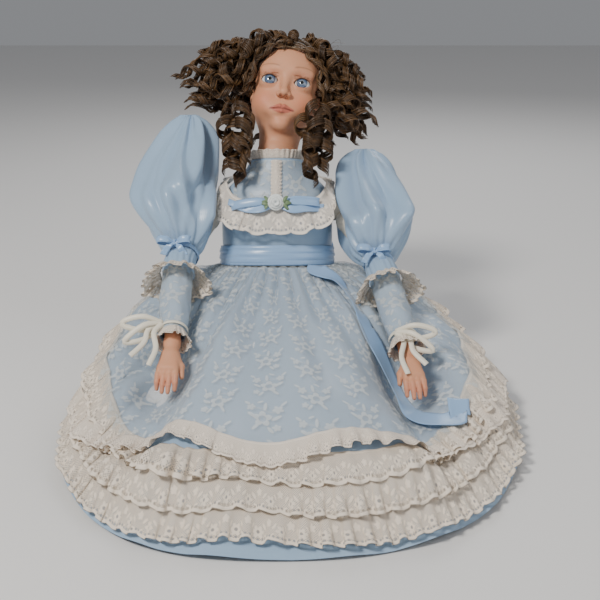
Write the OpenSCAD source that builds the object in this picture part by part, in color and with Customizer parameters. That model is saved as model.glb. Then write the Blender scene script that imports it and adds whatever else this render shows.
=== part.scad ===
// Seated collector's doll with a bisque head and limbs, a stuffed cloth body
// and a lace trimmed satin dress. Millimetres. +Z is up, the face looks
// towards -Y, and the origin is where the seat meets the surface it sits on.

/* [Posture] */
// Backward lean of the torso, degrees
lean = 17; // [15:1:18]
// Tilt of the head towards its left shoulder, degrees
head_roll = 8; // [5:1:8]
// Backward tilt of the head on the torso, degrees
head_pitch = 10; // [7:1:10]
// Outward spread of each leg, degrees
leg_splay = 13; // [11:1:14]

/* [Head] */
// Radius of each glass eye
eye_r = 10; // [9:0.5:10.5]
// Distance of each eye from the face's middle
eye_x = 17.5; // [16:0.5:18]
// Radius of the head at the cheeks
head_r = 38; // [36:0.5:38.5]
// Thickness of the bisque walls
bisque = 3; // [2.5:0.1:3.2]

/* [Body] */
// Radius of the stuffed thigh
thigh_r = 22; // [20:0.5:23]
// Radius of the elbow ball
elbow_r = 12; // [11:0.5:12.5]

/* [Dress] */
// Thickness of the satin, taken with its lining
satin = 1.8; // [1.4:0.1:2]
// Width of the waist sash
sash_w = 20; // [16:1:22]
// Depth of the dents where the hands rest on the skirt
lap_dent = 48; // [42:1:54]

/* [Hidden] */
right = -1;
left = 1;

neck_t = 243;
ball_r = 22;
bolt_r = 4;
shoulder_t = 186;
cord_r = 1;
running = 0.05;
arm_n = 24;
body_n = 28;
skirt_n = 44;

// ---- places -------------------------------------------------------------

// A point given across, forward or back, and up the torso, in the row's frame
function torso_point(p) =
    [p[0], p[1] * cos(lean) + p[2] * sin(lean), p[2] * cos(lean) - p[1] * sin(lean)];

// The arms differ a little, as a posed doll's do
function elbow(side) = side == right ? [-99, -34, 139] : [110, -30, 129];
function wrist(side) = side == right ? [-95, -140, 90] : [128, -136, 80];
function fingertips(side) = side == right ? [-99, -192, 64] : [133, -186, 60];
function hip(side) = [side * 32, -52, 27];
function leg_point(side, along, z) =
    [hip(side)[0] + side * along * sin(leg_splay), hip(side)[1] - along * cos(leg_splay), z];
function mix(a, b, k) = a + (b - a) * k;
function unit(v) = v / norm(v);

// ---- building blocks ----------------------------------------------------

function centre_of(ring) = [for (k = [0:2]) [for (p = ring) p[k]] * [for (p = ring) 1] / len(ring)];
function halves(quads) = [for (q = quads) for (t = [[q[0], q[1], q[2]], [q[0], q[2], q[3]]]) t];
function reversed(list) = [for (i = [len(list) - 1:-1:0]) list[i]];
function joined(lists) = [for (l = lists) for (p = l) p];

// A closed solid through rings of points, capped at both ends. Rings that come
// back down inside the others leave a hollow with a floor.
module loft(rings) {
    n = len(rings[0]);
    m = len(rings);
    sides = [for (i = [0:m - 2]) for (j = [0:n - 1])
        [i * n + j, (i + 1) * n + j, (i + 1) * n + (j + 1) % n, i * n + (j + 1) % n]];
    first = [for (j = [0:n - 1]) [n * m, j, (j + 1) % n]];
    last = [for (j = [0:n - 1]) [n * m + 1, (m - 1) * n + (j + 1) % n, (m - 1) * n + j]];
    polyhedron(points = concat(joined(rings), [centre_of(rings[0])], [centre_of(rings[m - 1])]),
        faces = concat(halves(sides), first, last));
}

// The same with the last ring joined to the first, for a tube open at both ends
module band(rings) {
    n = len(rings[0]);
    m = len(rings);
    sides = [for (i = [0:m - 1]) for (j = [0:n - 1])
        [i * n + j, ((i + 1) % m) * n + j, ((i + 1) % m) * n + (j + 1) % n, i * n + (j + 1) % n]];
    polyhedron(points = joined(rings), faces = halves(sides));
}

// A tube from its outer and inner rings, both listed from the bottom up
module tube(outer, inner) {
    band(concat(outer, reversed(inner)));
}

// A curved sheet or clump that is open along one side: each ring is its outline
module strip_solid(rings) {
    n = len(rings[0]);
    w = n / 2;
    m = len(rings);
    b = (m - 1) * n;
    sides = [for (i = [0:m - 2]) for (j = [0:n - 1])
        [i * n + j, (i + 1) * n + j, (i + 1) * n + (j + 1) % n, i * n + (j + 1) % n]];
    low = [for (k = [0:w - 2]) [k, k + 1, n - 2 - k, n - 1 - k]];
    top = [for (k = [0:w - 2]) [b + n - 1 - k, b + n - 2 - k, b + k + 1, b + k]];
    polyhedron(points = joined(rings), faces = concat(halves(sides), halves(low), halves(top)));
}

// Places children with +Z pointing from one point to another
module along(from, to) {
    d = to - from;
    translate(from) rotate([0, acos(d[2] / norm(d)), atan2(d[1], d[0])]) children();
}

// A straight limb that tapers from one point to another
module limb(from, to, r1, r2) {
    along(from, to) cylinder(r1 = r1, r2 = r2, h = norm(to - from), $fn = 48);
}

// A ring about a limb's line, wider above and to the sides than below
function limb_ring(from, to, s, r, up, down, n = arm_n) =
    let (d = unit(to - from), side = unit(cross(d, [0, 0, 1])), top = cross(side, d), c = from + d * s)
    [for (j = [0:n - 1]) let (a = -j * 360 / n, h = sin(a) > 0 ? up : down)
        c + side * r * cos(a) + top * h * sin(a)];

// A flat ribbon of some width and thickness swept through points
module ribbon(points, across, half, thick) {
    m = len(points);
    function way(i) = unit(points[min(m - 1, i + 1)] - points[max(0, i - 1)]);
    rings = [for (i = [0:m - 1])
        let (a = unit(across[i]), nrm = unit(cross(way(i), a)), p = points[i])
        [p + a * half + nrm * thick, p - a * half + nrm * thick,
            p - a * half - nrm * thick, p + a * half - nrm * thick]];
    loft(rings);
}

module in_torso() {
    rotate([-lean, 0, 0]) children();
}

module in_head() {
    in_torso() translate([0, 0, neck_t]) rotate([-head_pitch, 0, 0]) rotate([0, head_roll, 0]) children();
}

// ---- head ---------------------------------------------------------------

neck_profile = [[20.6, 8], [21, 16]];
face_profile = [[26, 28], [32, 38], [36, 50], [head_r, 66], [head_r, 82]];
crown_profile = [[36, 96], [31, 109], [22, 120], [12, 126]];
crown_top = 128;
cut_z = 110;
eye_y = -24;
eye_z = 71;

module head_solid(inset) {
    rotate_extrude($fn = 72) polygon(concat([[0, 8]],
        [for (p = concat(neck_profile, face_profile)) [p[0] - inset, p[1]]],
        [for (p = crown_profile) [p[0] - inset, p[1] - inset]], [[0, crown_top - inset]]));
    sphere(r = ball_r - inset, $fn = 72);
}

module head_shell() {
    color("bisque") in_head() difference() {
        union() {
            head_solid(0);
            translate([0, 1 - head_r, 56]) sphere(r = 5, $fn = 24);
            translate([0, -26, 36]) sphere(r = 9, $fn = 24);
        }
        head_solid(bisque);
        translate([0, 0, -30]) cylinder(r = bolt_r + running, h = 30, $fn = 48);
        for (s = [-1, 1]) translate([s * eye_x, eye_y, eye_z]) sphere(r = eye_r + 0.1, $fn = 48);
        translate([-60, -60, cut_z]) cube([120, 120, 40]);
    }
}

module glass_eye(side) {
    color("powderblue") in_head() translate([side * eye_x, eye_y, eye_z]) sphere(r = eye_r, $fn = 48);
}

// Plaster behind each eye, which holds it against its lids
module eye_putty() {
    color("gainsboro") in_head() for (s = [-1, 1]) difference() {
        translate([s * eye_x, eye_y + 12, eye_z]) rotate([90, 0, 0]) cylinder(r = 9, h = 8, $fn = 36);
        translate([s * eye_x, eye_y, eye_z]) sphere(r = eye_r + 0.05, $fn = 48);
    }
}

module crown_pate() {
    color("tan") in_head() difference() {
        intersection() {
            head_solid(-0.4);
            translate([-60, -60, cut_z + 0.2]) cube([120, 120, 40]);
        }
        head_solid(bisque);
    }
}

// The wig's net cap, cut away over the face
module wig_cap() {
    color("saddlebrown") in_head() difference() {
        intersection() {
            head_solid(-1.4);
            translate([-60, -60, 52]) cube([120, 120, 100]);
        }
        head_solid(-0.6);
        translate([-60, -120, 40]) cube([120, 106, 66]);
    }
}

// Curls round the back and sides: height, half width, inner radius, half angle from the back
hair_levels = [
    [22, 46, 28, 122], [30, 52, 32, 120], [46, 54, 38.5, 118], [54, 78, 41, 114], [66, 94, 42, 110],
    [82, 92, 42, 108], [96, 80, 41, 102], [112, 66, 37, 94]
];
hair_depth = 60;
hair_m = 22;
// Curls over the crown: height, half width, depth in front, depth behind
dome_out = [[109, 68, 41, 58], [120, 60, 39, 54], [130, 46, 33, 43], [139, 27, 20, 26], [143, 10, 8, 10]];
dome_in = [[131, 4], [130, 15], [124, 26], [113, 35.5], [109, 37.5]];

module wig_hair() {
    rings = [for (h = hair_levels) concat(
        [for (k = [0:hair_m]) let (a = 90 - h[3] + 2 * h[3] * k / hair_m)
            [h[1] * cos(a), min(h[1], hair_depth) * sin(a), h[0]]],
        [for (k = [hair_m:-1:0]) let (a = 90 - h[3] + 2 * h[3] * k / hair_m)
            [h[2] * cos(a), h[2] * sin(a), h[0]]])];
    color("sienna") in_head() {
        strip_solid(rings);
        loft(concat(
            [for (d = dome_in) [for (j = [0:35]) [d[1] * cos(10 * j), d[1] * sin(10 * j), d[0]]]],
            [for (d = dome_out) [for (j = [0:35])
                [d[1] * cos(10 * j), (j > 18 ? d[2] : d[3]) * sin(10 * j), d[0]]]]));
    }
}

module ringlets(side) {
    color("sienna") in_torso() for (k = [0:4])
        translate([side * (40 + 1.5 * (k % 2)), -50 - 1.5 * ((k + 1) % 2), 218 + 9.5 * k])
            sphere(r = 9.6 + 0.4 * (k % 2), $fn = 32);
}

// ---- neck joint ---------------------------------------------------------

cup_r = ball_r + 0.4;

module neck_bolt() {
    color("silver") in_head() {
        translate([0, 0, -47]) cylinder(r = bolt_r, h = 34, $fn = 48);
        translate([0, 0, -13.4]) cylinder(r = 6.4, h = 3.4, $fn = 6);
    }
}

module neck_button() {
    color("burlywood") in_head() difference() {
        translate([0, 0, -17.2]) cylinder(r = 7, h = 3.7, $fn = 48);
        translate([0, 0, -20]) cylinder(r = bolt_r + running, h = 12, $fn = 48);
    }
}

spring_wire = 1.2;
module neck_spring() {
    turns = 3;
    steps = 42;
    r = 7;
    rings = [for (i = [0:steps]) let (a = 360 * turns * i / steps, z = mix(-42, -29.5, i / steps))
        [for (j = [0:7]) let (b = 45 * j)
            [(r + spring_wire * cos(b)) * cos(a), (r + spring_wire * cos(b)) * sin(a), z - spring_wire * sin(b)]]];
    color("silver") in_head() loft(rings);
}

module neck_nut() {
    color("silver") in_head() difference() {
        translate([0, 0, -47]) cylinder(r = 9.5, h = 3.6, $fn = 6);
        translate([0, 0, -48]) cylinder(r = bolt_r, h = 6, $fn = 48);
    }
}

// ---- body ---------------------------------------------------------------

// The body's rings lie flat at the seat and come square to the lean above it
upright_from = 60;
function body_ring(t, rx, ry, n = body_n) = let (tilt = lean * min(1, t / upright_from))
    [for (j = [0:n - 1]) let (a = j * 360 / n)
        [rx * cos(a), t * sin(lean) + ry * sin(a) * cos(tilt), t * cos(lean) - ry * sin(a) * sin(tilt)]];
function body_rings(table, inset = 0) = [for (r = table) body_ring(r[0], r[1] - inset, r[2] - inset)];

module shoulder_plate() {
    color("bisque") in_torso() difference() {
        union() {
            rotate_extrude($fn = 72) polygon([
                [37, 196], [37, 201], [34, 211], [29.5, 220], [26.5, 227], [26, 233.5], [22, 233.5],
                [22, 226], [24, 219], [30, 209.5], [34, 200], [34, 196]]);
            intersection() {
                translate([0, 0, neck_t]) sphere(r = cup_r + bisque, $fn = 72);
                translate([-40, -40, 190]) cube([80, 80, 39]);
            }
        }
        translate([0, 0, neck_t]) sphere(r = cup_r, $fn = 72);
        translate([0, 0, neck_t]) rotate([-head_pitch, 0, 0]) rotate([0, head_roll, 0])
            translate([0, 0, -40]) cylinder(r = bolt_r + 2, h = 30, $fn = 48);
    }
}

module torso_cloth() {
    color("linen") loft(body_rings([[1.8, 48, 33], [12, 53, 37], [60, 55, 37], [121, 56, 38], [150, 54, 38],
        [180, 54, 38], [194, 50, 34]]));
}

// Waxed cord from each side of the body to the arm's button
module shoulder_cord() {
    color("wheat") in_torso() for (s = [-1, 1])
        translate([s * 54.2, 0, shoulder_t]) rotate([0, s * 90, 0]) cylinder(r = cord_r, h = 18.8, $fn = 32);
}

module shoulder_buttons() {
    color("ivory") in_torso() for (s = [-1, 1]) translate([s * 69.9, 0, shoulder_t]) rotate([0, s * 90, 0])
        difference() {
            cylinder(r = 6, h = 2, $fn = 40);
            translate([0, 0, -1]) cylinder(r = cord_r, h = 4, $fn = 32);
        }
}

bodice_table = [[124, 58.6, 40.6], [150, 60, 42], [180, 60.3, 43], [200, 58, 40], [212, 48, 35],
    [222, 37, 31], [232, 31, 29.6]];
module bodice() {
    color("lightsteelblue") difference() {
        tube(body_rings(bodice_table), body_rings(bodice_table, satin));
        in_torso() for (s = [-1, 1])
            translate([s * 50, 0, shoulder_t]) rotate([0, s * 90, 0]) cylinder(r = 17, h = 20, $fn = 40);
    }
}

module back_snaps() {
    color("silver") in_torso() for (p = [[150, 42.3], [175, 43.2], [200, 40.3]])
        translate([0, p[1], p[0]]) rotate([-90, 0, 0]) cylinder(r = 3, h = 1.4, $fn = 24);
}

// ---- dress trim above the waist -----------------------------------------

// Part of a body ring from one angle to another, kept inside the armholes
function open_ring(t, rx, ry, limit) = [for (k = [0:24])
    let (a = mix(200, 340, k / 24), x = max(-limit, min(limit, rx * cos(a))))
    [x, t * sin(lean) + ry * sin(a) * cos(lean), t * cos(lean) - ry * sin(a) * sin(lean)]];

collar_table = [[148, 64, 48], [163, 64, 48], [180, 64, 47.5], [195, 62, 45], [205, 56, 42]];
module bertha_collar() {
    color("white") strip_solid([for (r = collar_table)
        concat(open_ring(r[0], r[1], r[2], 60.4), reversed(open_ring(r[0], r[1] - 1.6, r[2] - 1.6, 58.8)))]);
}

module neck_ruffle() {
    color("white") in_torso() translate([0, 0, 236]) rotate_extrude($fn = 60)
        polygon([[26.6, 0], [29, 0], [31, 11], [25.4, 11]]);
}

module placket_lace() {
    color("white") ribbon([for (p = [[230, 31.4], [222, 32.6], [212, 36.6], [204, 40.5], [198, 42]])
        torso_point([0, -p[1], p[0]])], [for (k = [0:4]) [1, 0, 0]], 5.5, 0.8);
}

// A flat loop of ribbon, bent out a little along its length
module bow_loop(from, out, drop, half, thick) {
    pts = [for (k = [0:6]) let (f = k / 6)
        torso_point([from[0] + out * f, from[1] - 5 * sin(180 * f), from[2] - drop * f * f])];
    ribbon(pts, [for (k = [0:6]) torso_point([0, 0, 1])], half, thick);
}

module chest_bow() {
    color("skyblue") for (s = [-1, 1]) {
        bow_loop([s * 7, -51.5, 190], s * 42, 6, 5, 1);
        bow_loop([s * 5, -54.4, 182], s * 22, 10, 4, 0.8);
    }
}

module rosette() {
    color("white") in_torso() translate([0, -56.5, 188]) {
        for (k = [0:5]) translate([4.6 * cos(60 * k), 0, 4.6 * sin(60 * k)]) sphere(r = 3.4, $fn = 20);
        translate([0, -1.6, 0]) sphere(r = 4.2, $fn = 24);
    }
}

module rosette_leaves() {
    color("olivedrab") for (s = [-1, 1])
        ribbon([for (k = [0:3]) torso_point([s * (10 + 3.4 * k), -58.4 - 0.6 * k, 186 + 0.8 * k])],
            [for (k = [0:3]) torso_point([0, 0, 1])], 2.6, 0.5);
}

module waist_sash() {
    color("skyblue") tube(body_rings([[123, 62, 44], [133, 62.4, 44.4], [123 + sash_w, 62.4, 44.4]]),
        body_rings([[123, 60.4, 42.4], [133, 60.8, 42.8], [123 + sash_w, 60.8, 42.8]]));
}

// Two loops a side, one behind the other, and a round knot
module sash_back_bow() {
    upper = [[6, 50, 134], [20, 56, 138], [38, 58, 140], [54, 56, 137], [62, 53, 133]];
    lower = [[6, 52, 130], [20, 61, 133], [38, 64, 134], [54, 61, 131], [63, 57, 127]];
    color("skyblue") {
        for (s = [-1, 1]) for (loop = [upper, lower])
            ribbon([for (p = loop) torso_point([s * p[0], p[1], p[2]])],
                [for (k = [0:4]) torso_point([0, 0, 1])], 11, 1);
        in_torso() translate([0, 53.2, 133]) sphere(r = 8, $fn = 32);
    }
}

// ---- skirt --------------------------------------------------------------

waist_oval = [60, 42, 121];
hem_right_x = 198;
hem_left_x = 232;
hem_mid_y = -97;
hem_half_y = 247;
over_legs = [[0, 1], [0.2, 0.86], [0.45, 0.74], [0.65, 0.62], [0.72, 0.52], [0.78, 0.33], [0.86, 0.22],
    [0.94, 0.11], [1, 0]];
at_sides = [[0, 1], [0.3, 0.93], [0.6, 0.78], [0.8, 0.5], [0.92, 0.22], [1, 0]];

function rounded(v) = sign(v) * pow(abs(v), 0.8);
function bell(v, c, w) = pow((v - c) / w, 2);

// The satin itself: share of the way from waist to hem, and the angle. The arms and hands lie in two
// hollows of the lap, and the feet lift it a little.
function satin_point(u, a) =
    let (w0 = [waist_oval[0] * cos(a), waist_oval[2] * sin(lean) + waist_oval[1] * sin(a) * cos(lean),
            waist_oval[2] * cos(lean) - waist_oval[1] * sin(a) * sin(lean)],
        h = [(cos(a) > 0 ? hem_left_x : hem_right_x) * rounded(cos(a)), hem_mid_y + hem_half_y * rounded(sin(a))],
        x = mix(w0[0], h[0], u), y = mix(w0[1], h[1], u), k = pow(max(0, -sin(a)), 1.5),
        fade = min(1, (1 - u) * 8), lap_x = x > 0 ? 124 : 105, dent = x > 0 ? lap_dent + 12 : lap_dent)
    [x, y, w0[2] * mix(lookup(u, at_sides), lookup(u, over_legs), k)
        - fade * dent * exp(-bell(abs(x), lap_x, 38) - bell(y, -145, 82))
        + fade * 22 * exp(-bell(abs(x), 95, 50) - bell(y, -285, 35))];

// The same place, off mm outside the satin
function skirt_point(u, a, off) =
    let (down = satin_point(min(1, u + 0.01), a) - satin_point(max(0, u - 0.01), a),
        round_it = satin_point(u, a + 1) - satin_point(u, a - 1),
        p = satin_point(u, a) + off * unit(cross(down, round_it)))
    [p[0], p[1], max(0, p[2])];

// The hem comes first, so that the rings stack upwards
function skirt_rings(us, off) = [for (u = reversed(us)) [for (j = [0:skirt_n - 1])
    skirt_point(u, j * 360 / skirt_n, off)]];
module skirt_layer(us, outer, inner) {
    tube(skirt_rings(us, outer), skirt_rings(us, inner));
}

module skirt() {
    color("lightsteelblue") skirt_layer([0, 0.12, 0.3, 0.45, 0.6, 0.72, 0.78, 0.86, 0.94, 1], 0, -2.2);
}

module overskirt() {
    color("aliceblue") skirt_layer([0.02, 0.12, 0.3, 0.45, 0.6, 0.72], 4.6, 2.7);
}

module overskirt_ruffle() {
    color("white") skirt_layer([0.7, 0.75, 0.79], 8.2, 6.2);
}

lace_w = 0.065;
module hem_lace(k) {
    color("white") skirt_layer([for (f = [0, 0.5, 0.96]) 0.805 + lace_w * (k + f)], 3.6, 1.6);
}

module petticoat() {
    color("whitesmoke") skirt_layer([0.06, 0.12, 0.3, 0.45, 0.6, 0.72, 0.78, 0.84], -6.6, -8.4);
}

// The long end of the sash lies over the lap and turns back up at its tip
tail_path = [[0.03, 307], [0.12, 307], [0.24, 308], [0.33, 311], [0.43, 314.5], [0.54, 317.5], [0.66, 317],
    [0.76, 320], [0.78, 326], [0.75, 333]];
function tail_spot(f) = let (i = min(floor(f), len(tail_path) - 2)) mix(tail_path[i], tail_path[i + 1], f - i);
module sash_tail_left() {
    spots = [for (f = [0:0.5:len(tail_path) - 1]) tail_spot(f)];
    pts = [for (p = spots) skirt_point(p[0], p[1], 11)];
    n = len(pts);
    color("skyblue") ribbon(pts, [for (i = [0:n - 1])
        let (p = spots[i], d = unit(pts[min(n - 1, i + 1)] - pts[max(0, i - 1)]),
            up = unit(skirt_point(p[0], p[1], 12) - skirt_point(p[0], p[1], 8)))
        cross(up, d)], 11, 0.9);
}

module bloomer_seat() {
    color("white") loft(concat(body_rings([[0, 50, 35], [12, 57, 40.6], [60, 58.4, 40.6], [104, 58.6, 40.6]]),
        body_rings([[104, 57, 39], [60, 56.8, 39], [12, 55.4, 39], [1.6, 49, 34]])));
}

// ---- arms ---------------------------------------------------------------

// The puff's neck follows the arm at the elbow; the rest is a tall soft balloon.
// Each row is the ring's centre, its half width and half depth, and its tilt.
elbow_t_right = [-99, -73.2, 123];
elbow_t_left = [110, -66.4, 114.6];
arm_way = [-0.2, -0.72, -0.64];
neck_tilt = 48;
puff_right = [
    [97, -56, 142, 27, 28, 42], [101, -44, 156, 37, 41, 28], [105, -24, 178, 42, 49, 13],
    [105, -9, 206, 41, 49, 4], [103, 0, 235, 38, 45, 0], [98, 3, 260, 30, 36, 0], [95, 4, 277, 19, 22, 0],
    [94, 4, 285, 8, 9, 0]
];
puff_left = [
    [105, -50, 133, 27, 28, 42], [107, -38, 147, 37, 41, 28], [109, -20, 166, 41, 47, 12],
    [107, -8, 188, 41, 46, 4], [104, -1, 210, 38, 43, 0], [100, 2, 229, 31, 35, 0], [97, 3, 241, 21, 24, 0],
    [96, 3, 248, 9, 10, 0]
];

// A sleeve's ring. Its inner side stays flat beside the armhole.
function sleeve_ring(side, c, rx, ry, tilt, inner_x) = [for (j = [0:arm_n - 1])
    let (a = side == left ? j * 360 / arm_n : 180 - j * 360 / arm_n)
    [side * max(inner_x, c[0] + rx * cos(a)), c[1] + ry * sin(a) * cos(tilt), c[2] - ry * sin(a) * sin(tilt)]];

function neck_centre(side, s) = let (e = side == right ? elbow_t_right : elbow_t_left)
    [abs(e[0]) + 0.2 * s, e[1] - arm_way[1] * -s, e[2] - arm_way[2] * -s];

module puff_sleeve(side) {
    table = concat([for (s = [-12, -19]) let (c = neck_centre(side, s)) [c[0], c[1], c[2], 15, 15, neck_tilt]],
        side == right ? puff_right : puff_left);
    function shell(inset, inner_x, last) = [for (i = [0:last]) let (r = table[i])
        sleeve_ring(side, r, r[3] - inset, r[4] - inset, r[5], inner_x)];
    color("lightsteelblue") in_torso() difference() {
        loft(concat(reversed(shell(satin, 62.4 + satin, 8)), shell(0, 62.4, 9)));
        translate([side * 55, 0, shoulder_t]) rotate([0, side * 90, 0]) cylinder(r = 18, h = 18, $fn = 40);
    }
}

module upper_arm(side) {
    top = torso_point([side * 65.3, 0, shoulder_t]);
    start = mix(top, elbow(side), 0.23);
    color("linen") difference() {
        union() {
            in_torso() translate([side * 61.3, 0, shoulder_t]) rotate([0, side * 90, 0]) cylinder(r = 15, h = 8, $fn = 48);
            translate(start) sphere(r = 12, $fn = 48);
            limb(start, elbow(side), 11, 8.8);
            translate(elbow(side)) sphere(r = elbow_r, $fn = 48);
        }
        in_torso() translate([side * 55, 0, shoulder_t]) rotate([0, side * 90, 0])
            cylinder(r = cord_r + running, h = 22, $fn = 32);
    }
}

// A narrow ribbon round the sleeve's gathers, with a small bow in front
module elbow_ribbon(side) {
    c = [for (s = [-13, -18]) neck_centre(side, s)];
    rings = [for (p = c) sleeve_ring(side, p, 16.8, 16.8, neck_tilt, 62.4)];
    inner = [for (p = c) sleeve_ring(side, p, 15.3, 15.3, neck_tilt, 62.4)];
    front = [side * c[1][0], c[1][1] - 12.6, c[1][2] + 13.2];
    color("skyblue") in_torso() {
        tube(rings, inner);
        for (s = [-1, 1]) ribbon([for (f = [0:3]) front + [s * (1 + 5.5 * f), -2 - 1.2 * sin(60 * f), 2 - f * f * 0.5]],
            [for (f = [0:3]) [0, 0.5, 1]], 4, 0.8);
    }
}

wrist_len = 116;
module forearm(side) {
    e = elbow(side);
    w = wrist(side);
    d = unit(w - e);
    f = unit(fingertips(side) - w);
    across = unit(cross(f, [0, 0, 1]));
    color("bisque") difference() {
        union() {
            limb(e + d * 8, w, 11, 7.2);
            translate(w) sphere(r = 8.1, $fn = 40);
            limb(w + f * 2, w + f * 22, 6.9, 8.4);
            translate(w + f * 22) sphere(r = 9.6, $fn = 40);
            for (k = [-1.5:1:1.5]) {
                tip = w + f * (49 - 3 * abs(k)) + across * k * 6.4;
                limb(w + f * 17.6 + across * k * 5.1, tip, 2.6, 1.9);
                translate(tip) sphere(r = 2.5, $fn = 24);
            }
            thumb = w + f * 31 - across * side * 15.5;
            limb(w + f * 11 - across * side * 2, thumb, 3.3, 2.4);
            translate(thumb) sphere(r = 2.9, $fn = 24);
        }
        translate(e) sphere(r = elbow_r + 0.3, $fn = 48);
    }
}

// A frill about the forearm: distances along it, radii, and the radii underneath
module frill(side, rows, wall) {
    e = elbow(side);
    w = wrist(side);
    tube([for (r = rows) limb_ring(e, w, r[0], r[1], r[1], r[2])],
        [for (r = rows) limb_ring(e, w, r[0], r[1] - wall, r[1] - wall, r[2] - wall)]);
}

module elbow_ruffle(side) {
    low = side == right ? 18 : 14.4;
    color("white") frill(side, [[15, 19, low - 1], [25, 27, low], [36, 33, low]], 1.6);
}

module lower_sleeve(side) {
    color("lightsteelblue") frill(side, [[39, 15.5, 13.4], [60, 15, 13], [85, 13, 12], [98, 11.4, 10.8]], 1.4);
}

module wrist_lace(side) {
    color("white") frill(side, [[100, 12, 11], [105, 16, 12.4], [111, 18, 13]], 1.4);
}

// Cream ribbon tied round the sleeve's end, with two loops
module wrist_ribbon(side) {
    e = elbow(side);
    w = wrist(side);
    d = unit(w - e);
    color("ivory") {
        frill(side, [[91, 14.2, 13.4], [96, 13.8, 13]], 1);
        for (s = [-1, 1]) ribbon([for (k = [0:3])
                e + d * (92.5 + s * 0.6) + [side * (10 + 6 * k), s * 4 * sin(50 * k), 14.6 - 2.4 * k + s * sin(60 * k)]],
            [for (k = [0:3]) d], 2, 0.5);
    }
}

// ---- legs ---------------------------------------------------------------

knee_s = 103;
ankle_s = 190;
function knee(side) = leg_point(side, knee_s, 22);

module thigh(side) {
    color("linen") {
        translate(hip(side)) sphere(r = thigh_r, $fn = 48);
        limb(hip(side), knee(side), thigh_r - 1, 18);
    }
}

module lower_leg(side) {
    color("bisque") limb(leg_point(side, knee_s + 0.6, 21), leg_point(side, ankle_s, 14), 15.4, 10);
}

module bloomer_leg(side) {
    color("white") along(hip(side), knee(side)) translate([0, 0, 2]) difference() {
        cylinder(r1 = thigh_r + 3, r2 = 21.4, h = knee_s, $fn = 48);
        translate([0, 0, -0.1]) cylinder(r1 = thigh_r + 1.4, r2 = 19.8, h = knee_s + 0.2, $fn = 48);
    }
}

module shoe(side) {
    from = leg_point(side, 0, 14);
    to = leg_point(side, 270, 14);
    rows = [[0.5, 10, 10.5, 10], [10, 12, 15, 12.8], [22, 13.4, 18, 13.6], [36, 13.4, 19, 13.6], [44, 11, 17, 12]];
    color("white") loft([for (r = rows) limb_ring(from, to, ankle_s + r[0], r[1], r[2], r[3])]);
}

head_shell();
glass_eye(right);  // eye_right
glass_eye(left);  // eye_left
eye_putty();
crown_pate();
wig_cap();
wig_hair();
ringlets(right);  // ringlets_right
ringlets(left);  // ringlets_left
neck_bolt();
neck_button();
neck_spring();
neck_nut();
shoulder_plate();
torso_cloth();
shoulder_cord();
shoulder_buttons();
bodice();
back_snaps();
bertha_collar();
neck_ruffle();
placket_lace();
chest_bow();
rosette();
rosette_leaves();
waist_sash();
sash_back_bow();
sash_tail_left();
skirt();
overskirt();
overskirt_ruffle();
hem_lace(0);  // hem_lace_upper
hem_lace(1);  // hem_lace_middle
hem_lace(2);  // hem_lace_lower
petticoat();
bloomer_seat();
upper_arm(right);  // upper_arm_right
puff_sleeve(right);  // puff_sleeve_right
elbow_ribbon(right);  // elbow_ribbon_right
upper_arm(left);  // upper_arm_left
puff_sleeve(left);  // puff_sleeve_left
elbow_ribbon(left);  // elbow_ribbon_left
forearm(right);  // forearm_right
elbow_ruffle(right);  // elbow_ruffle_right
lower_sleeve(right);  // lower_sleeve_right
wrist_lace(right);  // wrist_lace_right
wrist_ribbon(right);  // wrist_ribbon_right
forearm(left);  // forearm_left
elbow_ruffle(left);  // elbow_ruffle_left
lower_sleeve(left);  // lower_sleeve_left
wrist_lace(left);  // wrist_lace_left
wrist_ribbon(left);  // wrist_ribbon_left
thigh(right);  // thigh_right
lower_leg(right);  // lower_leg_right
bloomer_leg(right);  // bloomer_leg_right
shoe(right);  // shoe_right
thigh(left);  // thigh_left
lower_leg(left);  // lower_leg_left
bloomer_leg(left);  // bloomer_leg_left
shoe(left);  // shoe_left
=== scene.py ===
import math
import bpy
import numpy as np
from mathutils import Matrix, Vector


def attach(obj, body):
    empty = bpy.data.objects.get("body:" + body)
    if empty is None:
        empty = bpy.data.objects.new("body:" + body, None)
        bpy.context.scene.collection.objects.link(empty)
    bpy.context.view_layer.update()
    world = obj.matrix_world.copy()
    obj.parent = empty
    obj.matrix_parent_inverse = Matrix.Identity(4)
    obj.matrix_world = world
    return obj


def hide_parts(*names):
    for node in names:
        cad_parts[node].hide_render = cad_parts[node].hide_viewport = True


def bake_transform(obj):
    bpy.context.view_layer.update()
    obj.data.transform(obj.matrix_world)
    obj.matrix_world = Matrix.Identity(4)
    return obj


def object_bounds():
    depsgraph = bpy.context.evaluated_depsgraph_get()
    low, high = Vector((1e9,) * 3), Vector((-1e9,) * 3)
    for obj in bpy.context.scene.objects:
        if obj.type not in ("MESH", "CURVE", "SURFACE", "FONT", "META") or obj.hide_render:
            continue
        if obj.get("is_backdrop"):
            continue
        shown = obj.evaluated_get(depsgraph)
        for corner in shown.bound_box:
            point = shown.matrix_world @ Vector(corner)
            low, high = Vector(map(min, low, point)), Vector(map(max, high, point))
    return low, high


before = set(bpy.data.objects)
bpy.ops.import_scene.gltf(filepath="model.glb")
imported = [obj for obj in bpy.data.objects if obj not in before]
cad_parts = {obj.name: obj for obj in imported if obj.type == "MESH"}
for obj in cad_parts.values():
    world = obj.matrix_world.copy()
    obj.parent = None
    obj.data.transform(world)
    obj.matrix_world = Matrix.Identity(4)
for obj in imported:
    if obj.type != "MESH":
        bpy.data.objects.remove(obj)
cad_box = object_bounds()
rng = np.random.default_rng(7)
pi = math.pi
MM = 0.001
LEAN = math.radians(17)

# ---------------------------------------------------------------- places


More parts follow.
